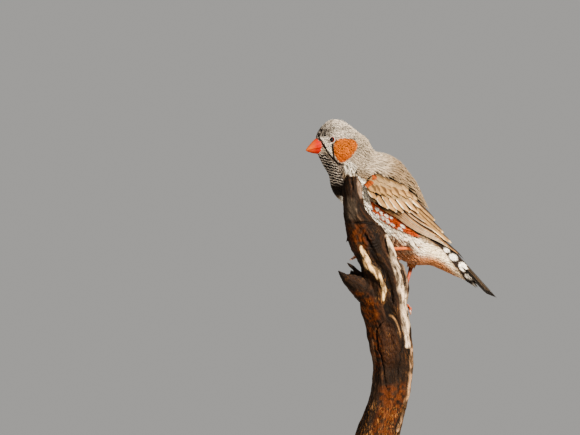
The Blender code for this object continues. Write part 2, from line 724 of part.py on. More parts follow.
def make_perch(parts, cutters):
    top = PERCH_STATIONS[-1][0]
    rings = []
    for i in range(PERCH_RINGS):
        z = PERCH_CUT_HEIGHT + (top - PERCH_CUT_HEIGHT) * i / (PERCH_RINGS - 1)
        rings.append([on_perch(z, 360.0 * k / PERCH_SIDES) for k in range(PERCH_SIDES)])
    perch = loft("perch", rings, "dead_wood", parts)

    def branch_piece(name, places, radii, count=6, sides=8):
        rows = [(*p, r) for p, r in zip(places, radii)]
        path = smooth_path(rows, count)
        return tube(name, [p[:3] for p in path], [p[3] for p in path], "dead_wood", cutters, sides)

    stub = [(-12.0, -10.5, 84.0), (-18.5, -11.5, 88.0), (-24.2, -12.0, 93.0)]
    side_strand = [(-4.6, -15.0, 99.0), (-0.6, -14.4, 97.0), (1.9, -12.6, 91.5), (2.3, -11.4, 86.0), (0.3, -10.2, 79.0)]
    front_strand = [
        (-17.0, -17.5, 107.0), (-15.2, -17.2, 100.0), (-10.5, -16.8, 92.5), (-6.8, -15.0, 85.0), (-7.0, -12.0, 78.0)
    ]
    pieces = [
        branch_piece("stub", stub, [6.0, 4.8, 3.6], sides=12),
        branch_piece("stub_peak_left", [(-24.5, -11.0, 90.5), (-27.2, -10.5, 97.0)], [2.2, 0.5], 3),
        branch_piece("stub_peak_right", [(-21.5, -13.0, 91.0), (-23.0, -12.5, 99.2)], [2.6, 0.5], 3),
        branch_piece("stub_spur", [(-20.0, -12.0, 86.2), (-26.0, -12.5, 88.3)], [1.6, 0.4], 3),
        branch_piece("side_strand", side_strand, [1.6, 1.3, 1.3, 1.5, 2.2], 9),
        branch_piece("front_strand", front_strand, [2.0, 2.8, 3.2, 3.0, 2.2], 9),
        branch_piece("thorn", [(-21.5, -15.0, 112.0), (-23.6, -15.2, 107.6)], [1.2, 0.35], 3),
        branch_piece("top_peak_left", [(-22.4, -14.6, 132.5), (-23.4, -14.2, 138.6)], [1.7, 0.4], 3),
        branch_piece("top_peak_right", [(-19.6, -14.8, 131.5), (-18.9, -14.4, 137.4)], [1.7, 0.4], 3),
    ]
    combine(perch, pieces, "UNION")


# Each leg: where the thigh starts inside the body, the heel, both (x, y, z), and the thigh's radii at each. The
# foot and the toes are places on the perch: (angle round it, height). A toe's last value is its radius.
LEGS = {
    "left": {
        "hip": (5.5, -4.5, 107.5),
        "heel": (6.6, -11.8, 104.4),
        "thigh_radii": (4.6, 1.7),
        "foot": (64, 104.0),
        "toes": {
            "inner": ((84, 104.4), (128, 107.4), 0.62),
            "middle": ((88, 103.0), (172, 100.0), 0.70),
            "outer": ((82, 101.6), (124, 95.6), 0.62),
            "hind": ((60, 100.6), (6, 99.6), 0.66),
        },
    },
    "right": {
        "hip": (7.0, 5.5, 106.0),
        "heel": (5.0, 5.6, 96.4),
        "thigh_radii": (5.2, 1.7),
        "foot": (40, 82.4),
        "toes": {
            "inner": ((58, 83.2), (104, 87.0), 0.62),
            "middle": ((60, 81.6), (128, 79.0), 0.70),
            "outer": ((56, 80.0), (100, 73.8), 0.62),
            "hind": ((24, 80.2), (-12, 76.8), 0.66),
        },
    },
}
TARSUS_RADIUS = 0.85
KNOB_RADIUS = 1.3
PALM_RADIUS = 1.4
CLAW_LENGTH = 3.4
TOE_KNUCKLES = 6


def toe_path(start, end, radius):
    """Places along the perch's surface from (angle, height) to (angle, height), lying on it."""
    places = []
    for i in range(TOE_KNUCKLES):
        angle, z = between(start, end, i / (TOE_KNUCKLES - 1))
        knuckle = 0.15 * math.sin(math.pi * i / (TOE_KNUCKLES - 1))
        places.append(on_perch(z, angle, radius + TOUCH_GAP + 0.2 + knuckle))
    return places


def claw_path(places):
    """A claw curving on from the toe's end, bowed outward and down to the bark."""
    tip, before = places[-1], places[-2]
    ahead = (tip - before) / np.linalg.norm(tip - before)
    middle_x, middle_y = perch_row(tip[2])[1:3]
    inward = np.array([middle_x, middle_y, tip[2]]) - tip
    inward /= np.linalg.norm(inward)
    path = []
    for i in range(4):
        s = i / 3
        bow = 0.7 * math.sin(math.pi * s * 0.75)
        path.append(tip + ahead * (TOUCH_GAP + CLAW_LENGTH * s) - inward * bow)
    return path


def make_legs(parts, cutters):
    for side, leg in LEGS.items():
        hip, heel = (np.array(leg[k]) for k in ("hip", "heel"))
        foot = on_perch(leg["foot"][1], leg["foot"][0], PALM_RADIUS + TOUCH_GAP + 0.1)
        down = (heel - hip) / np.linalg.norm(heel - hip)
        wide, narrow = leg["thigh_radii"]
        thigh = tube(
            "thigh_" + side,
            smooth_path([hip, hip + (heel - hip) * 0.6, heel], 6),
            np.linspace(wide, narrow, 6),
            "grey_plumage",
            parts,
            10,
        )
        clearance = body_form("torso_clearance", 8.0, 18.0, TOUCH_GAP, cutters)
        combine(thigh, [clearance], "DIFFERENCE")
        along = (foot - heel) / np.linalg.norm(foot - heel)
        knob = heel + down * (KNOB_RADIUS + TOUCH_GAP + 0.2 + narrow * max(0.0, -np.dot(down, along)))
        end = foot - along * (PALM_RADIUS + TOUCH_GAP + 0.3)
        shank = [knob - along * 1.2, knob - along * 0.7, knob + along * 0.2, knob + along * 1.3]
        shank += [knob + (end - knob) * share for share in (0.2, 0.5, 0.8, 1.0)]
        radii = (0.5, 1.1, KNOB_RADIUS, 1.1, *[TARSUS_RADIUS] * 4)
        tube("tarsus_" + side, shank, radii, "leg_orange", parts)
        palm = ball("foot_" + side, foot, PALM_RADIUS, "leg_orange", parts, 10, 7)
        toes = []
        for kind, (start_at, end_at, radius) in leg["toes"].items():
            places = toe_path(start_at, end_at, radius)
            radii = [0.7, *np.linspace(radius * 1.1, radius * 0.8, TOE_KNUCKLES)]
            toes.append(tube(f"toe_{side}_{kind}", [foot, *places], radii, "leg_orange", cutters, 6))
            claw_radii = np.linspace(radius * 0.72, 0.14, 4)
            tube(f"claw_{side}_{kind}", claw_path(places), claw_radii, "claw_horn", parts, 6)
        combine(palm, toes, "UNION")


def make_stand(parts):
    """The plain display stand: a flat round base and one short rod up to the perch's cut end."""
    bpy.ops.mesh.primitive_cylinder_add(vertices=44, radius=STAND_RADIUS * MM, depth=STAND_THICKNESS * MM)
    base = bpy.context.active_object
    base.name = "stand_base"
    base.data.transform(Matrix.Translation((0, 0, STAND_THICKNESS * MM / 2)))
    base.data.materials.append(material("stand_wood"))
    edge = base.modifiers.new("edge", "BEVEL")
    edge.width = STAND_EDGE * MM
    edge.segments = 1
    edge.limit_method = "ANGLE"
    low, high = STAND_THICKNESS + TOUCH_GAP, PERCH_CUT_HEIGHT - TOUCH_GAP
    _, x, y = PERCH_STATIONS[0][:3]
    bpy.ops.mesh.primitive_cylinder_add(vertices=24, radius=ROD_RADIUS * MM, depth=(high - low) * MM)
    rod = bpy.context.active_object
    rod.name = "stand_rod"
    rod.data.transform(Matrix.Translation((x * MM, y * MM, (low + high) / 2 * MM)))
    rod.data.materials.append(material("rod_steel"))
    for obj in (base, rod):
        for owner in list(obj.users_collection):
            owner.objects.unlink(obj)
        parts.objects.link(obj)


def main():
    clear_scene()
    parts = make_collection("zebra_finch")
    cutters = make_collection("helpers")
    torso = make_head_and_body(parts, cutters)
    combine(torso, mantle_vanes(cutters), "UNION")
    make_eyes_and_bill(parts, cutters)
    make_wings(parts, cutters)
    make_tail(parts, cutters)
    make_perch(parts, cutters)
    make_legs(parts, cutters)
    make_stand(parts)
    bpy.context.view_layer.update()


main()
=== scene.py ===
import math

import bpy
import numpy as np
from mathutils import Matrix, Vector


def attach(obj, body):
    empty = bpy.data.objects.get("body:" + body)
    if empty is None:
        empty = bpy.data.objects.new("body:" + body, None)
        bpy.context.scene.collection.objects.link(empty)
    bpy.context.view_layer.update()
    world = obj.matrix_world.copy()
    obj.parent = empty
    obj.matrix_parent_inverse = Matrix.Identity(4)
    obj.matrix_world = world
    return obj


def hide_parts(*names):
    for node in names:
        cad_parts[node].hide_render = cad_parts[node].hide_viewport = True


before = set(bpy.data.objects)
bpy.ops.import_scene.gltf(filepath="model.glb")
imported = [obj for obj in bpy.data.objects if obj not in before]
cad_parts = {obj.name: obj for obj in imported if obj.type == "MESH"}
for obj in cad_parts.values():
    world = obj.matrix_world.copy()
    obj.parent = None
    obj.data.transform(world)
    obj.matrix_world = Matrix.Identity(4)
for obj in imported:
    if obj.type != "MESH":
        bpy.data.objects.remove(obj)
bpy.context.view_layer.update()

# A male zebra finch, life size, gripping the broken top of a dead branch on a plain stand.
# Places are in millimetres, turned to metres where a mesh is made. The bird faces -X, its left side is at
# -Y.
mm = 0.001


# general helpers

def deselectAll():
    bpy.ops.object.select_all(action="DESELECT")


def linear(hexColour):
    parts = [int(hexColour[i:i + 2], 16) / 255 for i in (1, 3, 5)]
    return np.array([c / 12.92 if c <= 0.04045 else ((c + 0.055) / 1.055) ** 2.4 for c in parts])


def rgba(hexColour):
    return (*linear(hexColour), 1.0)


def fill(tree, node, settings):
    # each setting is a property of the node, a value of an input, or a node or socket to link to an input
    for key, value in settings.items():
        if isinstance(value, bpy.types.Node):
            value = value.outputs[0]
        if isinstance(value, bpy.types.NodeSocket):
            tree.links.new(value, node.inputs[key])
        elif isinstance(key, str) and hasattr(node, key):
            setattr(node, key, value)
        else:
            node.inputs[key].default_value = value
    return node


def addNode(tree, kind, settings={}):
    return fill(tree, tree.nodes.new("ShaderNode" + kind), settings)


def newMaterial(name, settings):
    # a material, its tree and shader, and the place on the object that its patterns read
    made = bpy.data.materials.new(name)
    made.use_nodes = True
    tree = made.node_tree
    shader = fill(tree, tree.nodes["Principled BSDF"], settings)
    return made, tree, shader, addNode(tree, "TexCoord").outputs["Object"]


times = {"blend_type": "MULTIPLY", "Fac": 1.0}


def unit(vectors):
    return vectors / np.maximum(np.linalg.norm(vectors, axis=-1, keepdims=True), 1e-9)


def dot(a, b):
    return (a * b).sum(-1)


def meshObject(name, points, faces, material):
    # a mesh object at the origin from points in mm; faces are arrays, each of rows of one length
    mesh = bpy.data.meshes.new(name)
    faces = [f for f in faces if len(f)]
    mesh.vertices.add(len(points))
    mesh.vertices.foreach_set("co", (points * mm).astype(np.float32).ravel())
    corners = np.concatenate([f.ravel() for f in faces])
    sizes = np.concatenate([np.full(len(f), f.shape[1]) for f in faces])
    mesh.loops.add(len(corners))
    mesh.loops.foreach_set("vertex_index", corners.astype(np.int32))
    mesh.polygons.add(len(sizes))
    mesh.polygons.foreach_set("loop_start", np.concatenate([[0], np.cumsum(sizes)[:-1]]).astype(np.int32))
    mesh.update(calc_edges=True)
    mesh.validate()
    mesh.materials.append(material)
    mesh.shade_smooth()
    made = bpy.data.objects.new(name, mesh)
    bpy.context.scene.collection.objects.link(made)
    return made


def setColours(obj, name, colours):
    layer = obj.data.color_attributes.new(name, "FLOAT_COLOR", "POINT")
    full = np.concatenate([colours, np.ones((len(colours), 1))], axis=1)
    layer.data.foreach_set("color", full.astype(np.float32).ravel())


def setValues(obj, name, values):
    layer = obj.data.attributes.new(name, "FLOAT", "POINT")
    layer.data.foreach_set("value", np.asarray(values, np.float32).ravel())


def setUV(obj, name, perVertex):
    layer = obj.data.uv_layers.new(name=name)
    index = np.zeros(len(obj.data.loops), np.int32)
    obj.data.loops.foreach_get("vertex_index", index)
    layer.data.foreach_set("uv", perVertex[index].astype(np.float32).ravel())


def vertexPlaces(obj, kind="co"):
    places = np.zeros(len(obj.data.vertices) * 3, np.float32)
    obj.data.vertices.foreach_get(kind, places)
    return places.reshape(-1, 3).astype(float)


def setPlaces(obj, points):
    # moves an object's vertices to points in mm
    obj.data.vertices.foreach_set("co", (points * mm).astype(np.float32).ravel())
    obj.data.update()


def outward(merge):
    # on the active object: merges doubles nearer than merge mm and turns all faces outwards
    bpy.ops.object.mode_set(mode="EDIT")
    bpy.ops.mesh.select_all(action="SELECT")
    bpy.ops.mesh.remove_doubles(threshold=merge * mm)
    bpy.ops.mesh.normals_make_consistent(inside=False)
    bpy.ops.object.mode_set(mode="OBJECT")


def joined(name, parts):
    deselectAll()
    for part in parts:
        part.select_set(True)
    bpy.context.view_layer.objects.active = parts[0]
    bpy.ops.object.join()
    parts[0].name = name
    return parts[0]


def wrapped(name, rows, columns, place, material):
    # a grid wrapped round: place(share, turn) gives points in mm, share 0 to 1 along, turn -180 to 180
    # degrees
    deselectAll()
    bpy.ops.mesh.primitive_grid_add(x_subdivisions=rows - 1, y_subdivisions=columns, size=2)
    part = bpy.context.object
    part.name = name
    flat = vertexPlaces(part)
    share = (flat[:, 0] + 1) / 2
    points = place(share, flat[:, 1] * 180)
    for end in (0.0, 1.0):
        at = np.abs(share - end) < 1e-6
        points[at] = points[at].mean(0)
    setPlaces(part, points)
    outward(0.002)
    part.data.materials.append(material)
    part.data.shade_smooth()
    return part


def noise(places, size, seed=0):
    # smooth random values from -1 to 1, with waves about size mm long
    p = np.asarray(places, float) / size + seed * 7.31
    cell = np.floor(p)
    f = p - cell
    f = f * f * (3 - 2 * f)
    total = 0.0
    for corner in np.ndindex(2, 2, 2):
        at = cell + corner
        value = np.sin(at @ np.array([12.9898, 78.233, 37.719])) * 43758.5453
        weight = np.prod(np.where(np.array(corner) == 1, f, 1 - f), axis=-1)
        total = total + (value - np.floor(value)) * weight
    return total * 2 - 1


def smoothStep(low, high, value):
    t = np.clip((value - low) / (high - low), 0, 1)
    return t * t * (3 - 2 * t)


def mixed(under, over, mask):
    return under + (over - under) * np.asarray(mask)[..., None]


def toPath(x, z, path):
    # distance in mm from points of the side view to a line of places, and how far along it the nearest
    # one is
    path = np.asarray(path, float)
    best = np.full(np.shape(x), 1e9)
    share = np.zeros(np.shape(x))
    for k, (a, b) in enumerate(zip(path[:-1], path[1:])):
        step = b[:2] - a[:2]
        t = np.clip(((x - a[0]) * step[0] + (z - a[1]) * step[1]) / (step @ step), 0, 1)
        d = np.hypot(x - a[0] - t * step[0], z - a[1] - t * step[1])
        nearer = d < best
        best = np.where(nearer, d, best)
        share = np.where(nearer, (k + t) / (len(path) - 1), share)
    return best, share


def insideOf(x, z, outline, soft):
    # 1 well inside a closed outline of the side view, 0 well outside, softened over soft mm
    ring = np.asarray(list(outline) + [outline[0]], float)
    away = toPath(x, z, ring)[0]
    odd = np.zeros(np.shape(x), bool)
    for a, b in zip(ring[:-1], ring[1:]):
        crosses = (a[1] > z) != (b[1] > z)
        rise = b[1] - a[1] if b[1] != a[1] else 1e-9
        odd ^= crosses & (x < (b[0] - a[0]) * (z - a[1]) / rise + a[0])
    return smoothStep(-soft, soft, np.where(odd, away, -away))


def ovalMask(x, z, oval, soft):
    # oval is centre x, z, half length, half width and its tilt in degrees, nose down towards the tail
    cx, cz, long, short, tilt = oval
    c, s = math.cos(math.radians(tilt)), math.sin(math.radians(tilt))
    along, across = (x - cx) * c - (z - cz) * s, (x - cx) * s + (z - cz) * c
    edge = (1 - np.hypot(along / long, across / short)) * min(long, short)
    return smoothStep(-soft, soft, edge)


# camera and light, set first: level, from the bird's left, at the photograph's framing

view = {
    "centre": (-48.4, 117.9), "distance": 3.0, "frameWidth": 255.2,
    "keyFrom": (1.25, -1.65, 0.98), "keySize": 0.3, "keyPower": 330, "keyColour": "#fff1dd",
    "fillFrom": (-1.15, -1.6, 0.75), "fillSize": 0.45, "fillPower": 13, "fillColour": "#f4f2f0",
    "backFrom": (0.7, 1.5, 1.3), "backSize": 0.8, "backPower": 45, "backColour": "#fff4e2",
    "sky": "#dcdad6", "skyStrength": 0.4, "backdropStrength": 0.55, "floorRadius": 0.62, "floor": "#a8a49e",
}


def areaLight(name, place, size, power, colour):
    data = bpy.data.lights.new(name, "AREA")
    data.shape, data.size, data.energy = "DISK", size, power
    data.color = linear(colour)
    made = bpy.data.objects.new(name, data)
    made.location = place
    made.rotation_euler = (Vector((0, 0, 0.11)) - Vector(place)).to_track_quat("-Z", "Y").to_euler()
    bpy.context.scene.collection.objects.link(made)


def makeStage():
    data = bpy.data.cameras.new("camera")
    data.sensor_width = 36
    data.lens = 36 * view["distance"] / (view["frameWidth"] * mm)
    data.clip_start, data.clip_end = 0.1, 20
    camera = bpy.data.objects.new("camera", data)
    camera.location = (view["centre"][0] * mm, -view["distance"], view["centre"][1] * mm)
    camera.rotation_euler = (math.radians(90), 0, 0)
    bpy.context.scene.collection.objects.link(camera)
    bpy.context.scene.camera = camera
    for light in ("key", "fill", "back"):
        areaLight(light, view[light + "From"], view[light + "Size"], view[light + "Power"],
            view[light + "Colour"])
    world = bpy.data.worlds.new("studio")
    world.use_nodes = True
    sky = world.node_tree.nodes["Background"]
    sky.inputs["Color"].default_value = rgba(view["sky"])
    # the plain backdrop is paler than the soft light it gives, so that the shade under feathers stays deep
    ray = addNode(world.node_tree, "LightPath").outputs["Is Camera Ray"]
    strength = {0: ray, "To Min": view["skyStrength"], "To Max": view["backdropStrength"]}
    fill(world.node_tree, sky, {"Strength": addNode(world.node_tree, "MapRange", strength)})
    bpy.context.scene.world = world
    # seamless paper: matte, with a faint tooth
    paper, tree, shader, place = newMaterial("seamlessPaper",
        {"Roughness": 0.9, "Base Color": rgba(view["floor"])})
    tooth = addNode(tree, "TexNoise", {"Scale": 900, "Detail": 3, "Vector": place})
    fill(tree, shader,
        {"Normal": addNode(tree, "Bump", {"Strength": 0.05, "Distance": 0.0003, "Height": tooth})})
    deselectAll()
    bpy.ops.mesh.primitive_circle_add(vertices=128, radius=view["floorRadius"], fill_type="NGON")
    floor = bpy.context.object
    floor.name = "paperFloor"
    floor.data.materials.append(paper)


makeStage()
print("stage: camera, three soft lights and a paper floor")


# the body's form, as in the solids: top x, z, low x, z, half width, fuller above (+) or below (-)

bodyStations = np.array([
    (-37.1, 153.6, -36.3, 145.6, 0.8, 0), (-36, 155.9, -35.5, 144.2, 2.2, 0.15),
    (-34.2, 158.3, -34.4, 141.9, 3.3, 0.25), (-31.8, 160.1, -33, 139.5, 5, 0.28),
    (-28.6, 160.8, -31.5, 137, 6.9, 0.25), (-23.8, 159.3, -30.8, 134.2, 8.3, 0.20),
    (-18.9, 155.5, -30.1, 131.1, 9.3, 0.14), (-14.4, 152.1, -28.4, 128, 10.2, 0.10),
    (-11.4, 146.9, -25.5, 124.7, 11.6, 0.08), (-6, 145, -22.9, 120.3, 12.9, 0.08),
    (-0.6, 140.7, -18.9, 115, 13.9, 0.08), (3.1, 135.3, -14.1, 110.4, 14.3, 0.10),
    (6.4, 129.8, -8.8, 107.1, 14, 0.10), (9, 124.1, -3.9, 103, 12.9, 0.10),
    (11.9, 118.6, 1.4, 99.2, 11.3, 0.08), (15, 113.5, 7.6, 97.3, 9.4, 0.05),
    (18.3, 108.9, 13.3, 97.2, 7.6, 0), (21.8, 104.9, 18.9, 95, 6.2, 0), (25.5, 101, 24, 92.6, 5.3, 0),
    (28.8, 97, 27.4, 91.3, 4.4, 0), (32, 93.2, 30.1, 89.6, 3.6, 0), (36.8, 88, 35.2, 86, 3.4, 0),
    (42.2, 82.4, 40.9, 81.4, 3, 0),
])
lastStation = len(bodyStations) - 1.0


def rowAt(rows, u):
    # the row at place u of a table, on a smooth curve through its rows
    u = np.clip(np.asarray(u, float), 0.0, len(rows) - 1.0)
    i = np.minimum(u.astype(int), len(rows) - 2)
    t = (u - i)[..., None]
    before, here, ahead, after = (rows[np.clip(i + k, 0, len(rows) - 1)] for k in (-1, 0, 1, 2))
    return 0.5 * (
        2 * here + (ahead - before) * t + (2 * before - 5 * here + 4 * ahead - after) * t**2
        + (3 * here - before - 3 * ahead + after) * t**3
    )


def onForm(u, angle, lift=0.0):
    # a point of the body: angle runs from the back (0) down the left side (+) or the right side (-), in
    # degrees
    u, angle, lift = np.broadcast_arrays(np.asarray(u, float), angle, lift)
    topX, topZ, lowX, lowZ, halfWidth, fuller = np.moveaxis(rowAt(bodyStations, u), -1, 0)
    upX, upZ = (topX - lowX) / 2, (topZ - lowZ) / 2
    halfHeight = np.hypot(upX, upZ)
    a = np.radians(angle)
    reach = (halfHeight + lift) * np.cos(a) / halfHeight
    y = -(halfWidth + lift) * np.sin(a) * (1 + fuller * np.cos(a))
    return np.stack([(topX + lowX) / 2 + upX * reach, y, (topZ + lowZ) / 2 + upZ * reach], -1)


def beside(x, z, lift, nearest=14.0):
    # (u, angle) of the left side's point, lifted, that is seen at (x, z) from the side
    x, z, lift = np.broadcast_arrays(np.asarray(x, float), z, lift)
    low, high = np.full(x.shape, 6.0), np.full(x.shape, lastStation)
    for _ in range(36):
        mid = (low + high) / 2
        topX, topZ, lowX, lowZ = np.moveaxis(rowAt(bodyStations, mid), -1, 0)[:4]
        past = (topX - lowX) * (z - lowZ) - (topZ - lowZ) * (x - lowX) > 0
        high, low = np.where(past, mid, high), np.where(past, low, mid)
    topX, topZ, lowX, lowZ = np.moveaxis(rowAt(bodyStations, low), -1, 0)[:4]
    upX, upZ = (topX - lowX) / 2, (topZ - lowZ) / 2
    halfHeight = np.hypot(upX, upZ)
    along = ((x - (topX + lowX) / 2) * upX + (z - (topZ + lowZ) / 2) * upZ) / halfHeight
    angle = np.degrees(np.arccos(np.clip(along / (halfHeight + lift), -1, 1)))
    return low, np.maximum(angle, nearest)


def steps(form, u, angle, lift):
    # how far a point of a form moves for one step of u, and for one degree of angle
    here = form(u, angle, lift)
    return (form(u + 0.02, angle, lift) - here) / 0.02, (form(u, angle + 0.5, lift) - here) / 0.5


def inSteps(direction, perU, perAngle):
    # one mm of a direction, as (u, angle)
    uu, ua, aa = dot(perU, perU), dot(perU, perAngle), dot(perAngle, perAngle)
    det = np.maximum(uu * aa - ua * ua, 1e-9)
    du, da = dot(direction, perU), dot(direction, perAngle)
    return np.stack([(du * aa - da * ua) / det, (da * uu - du * ua) / det], -1)


def perMillimetre(form, u, angle, lift, turn):
    # one mm along a feather's lie and one mm across it, as (u, angle); turn leans it towards the belly
    perU, perAngle = steps(form, u, angle, lift)
    tailward = unit(perU)
    sideways = unit(perAngle - tailward * dot(perAngle, tailward)[..., None])
    lean = np.radians(turn) * np.where(angle < 0, -1, 1)
    c, s = np.cos(lean)[..., None], np.sin(lean)[..., None]
    along, across = tailward * c + sideways * s, sideways * c - tailward * s
    return inSteps(along, perU, perAngle), inSteps(across, perU, perAngle)


# the markings, the same on skin and coat. Outlines are (x, z) of the side view and hold on both sides of
# the bird

palette = {key: linear(value) for key, value in {
    "crown": "#c6bbad", "forehead": "#988f85", "nape": "#aa9c88", "mantle": "#78634a", "rump": "#7c6448",
    "cheek": "#ba5e00", "cheekLow": "#a04600", "loreWhite": "#f0e6d8", "black": "#100906", "tear": "#140904",
    "throat": "#6d6259", "breast": "#18100b", "pale": "#ded5c6", "white": "#f8f2e6", "cream": "#fae6bc",
    "belly": "#f4e6d0", "paintedShadeUnderLeg": "#855c34", "buffInPaintedWarmShade": "#a8622a", "chestnut": "#8e3404", "dark": "#160e09",
    }.items()}

marks = {
    "cheek": [(-29, 150.2), (-28.2, 151.6), (-26.8, 152.4), (-24.2, 152.6), (-21.6, 152.4), (-19.8, 151.8),
        (-18.7, 150.2), (-18.7, 148.9), (-19.4, 147.2), (-20.7, 145.4), (-22, 144.1), (-23.5, 142.8),
        (-25.1, 141.9), (-26.8, 142.1), (-27.9, 143.6), (-29, 145.8), (-29.2, 148)],
    "lore": [(-36.4, 153.2), (-32.6, 153.5), (-31, 152.9), (-30.2, 151.2), (-29.7, 149.4), (-29.5, 146.7),
        (-29.4, 143.9), (-30.6, 145.2), (-31.9, 147.2), (-32.9, 148.9), (-34.4, 151)],
    "billLine": [(-35.6, 153), (-34.4, 150.9), (-33, 148.8), (-32.1, 147), (-30.3, 144.5), (-28.6, 142.7)],
    "tear": [(-29.8, 149.9), (-29.5, 147.6), (-29.4, 145.4), (-29, 143.4), (-27.6, 141.7), (-25, 141)],
    "throat": [(-37, 145.6), (-33.2, 146.6), (-29.5, 143.2), (-26.4, 141.4), (-24.4, 140.2), (-25.7, 137.9),
        (-24.6, 134.2), (-25.7, 132.4), (-32, 132.4), (-33, 136), (-36.5, 142)],
    "breast": [(-31.6, 133.6), (-24.8, 133.8), (-23.4, 130.2), (-24.2, 127), (-27.6, 127.4), (-31.5, 129)],
    "ruffle": [(-25.3, 141.2), (-22, 142.4), (-19.6, 140.6), (-18.7, 137.8), (-21.8, 136), (-24.4, 137.2)],
    "flankWhite": [(-24, 133), (-19, 136), (-15.2, 133.4), (-14.8, 129), (-13.2, 125), (-11, 119.8),
        (-8.6, 115.6), (-3.4, 111.4), (-8, 104), (-22, 112), (-27, 125)],
    "belly": [(-8.6, 115.9), (-2, 111.6), (5.2, 109.2), (11, 107.2), (17.4, 103.8), (21, 100), (24.4, 94.4),
        (28.4, 90.6), (28, 88), (14, 93), (0, 95), (-22, 103), (-30, 118), (-14, 121)],
    "buffInPaintedWarmShade": [(-5, 103.6), (-1, 102.8), (5.6, 102.7), (9.4, 101), (13.4, 101.2), (19.4, 98.4), (22.8, 95),
        (25, 92.6), (29.4, 89.4), (24, 88), (10, 92), (-5, 95)],
    "paintedShadeUnderLeg": [(-9, 110), (-2, 109), (4, 105.8), (6.6, 103), (2, 101.6), (-8, 102.5)],
    "chestnut": [(-13.4, 125.8), (-11.4, 124.1), (-7.9, 121.9), (-3.5, 119.2), (0.9, 115.9), (5.3, 112.4),
        (9.2, 109.3), (5.3, 109.5), (1.8, 111.5), (-0.9, 112.2), (-4.4, 114.2), (-7.9, 116.4),
        (-10.8, 118.4), (-12.1, 120.8), (-12.8, 123.4)],
    "tailBlack": [(9.6, 110.4), (17.6, 107.4), (21.3, 105.8), (27.7, 101.2), (31.4, 98), (37, 92), (44, 84),
        (40, 80), (31.6, 85.4), (28.7, 90), (27.1, 92.9), (25, 95.5), (22.5, 98.2), (21, 100.6),
        (19.1, 102.8), (16.6, 105.4)],
    "fringe": [(-19.8, 139.7), (-17.2, 138.8), (-12.8, 138.2), (-8.4, 137.7), (-4.4, 136.5), (-0.9, 134.2),
        (2.6, 132), (5.7, 131.1), (7.5, 127.8), (9.5, 124.5), (12, 123), (16, 120)],
    "wingCover": [(-14.2, 131), (-13, 127), (-9, 122), (-4, 118.5), (3, 114.4), (9, 111), (14, 108.2),
        (20, 105.6), (28, 100.4), (24, 105.6), (19, 112.8), (16, 118), (12, 124), (6, 130), (-2, 134),
        (-12, 136)],
}
# centre x, z, half length, half width, tilt
flankSpots = [
    (-10.2, 121.5, 1.05, 0.68, 38), (-8.4, 119.9, 0.75, 0.5, 38), (-6.1, 118.7, 1, 0.66, 38),
    (-4, 117.8, 0.7, 0.48, 38), (-10, 118.6, 0.95, 0.62, 42), (-7.7, 117.7, 1.05, 0.66, 38),
    (-5.7, 116.3, 0.95, 0.6, 38), (-3.6, 114.7, 0.95, 0.36, 30), (1.1, 114.1, 0.98, 0.66, 35),
    (-0.1, 112.6, 1, 0.62, 30),
]
tailSpots = [
    (20.3, 103.5, 1.3, 0.9, 15), (23.4, 100.4, 1.9, 1.3, 25), (27.8, 96.2, 2.35, 1.7, 42),
    (30.7, 91.9, 2.15, 1.3, 18), (32.9, 86.9, 1.8, 0.75, 66),
]


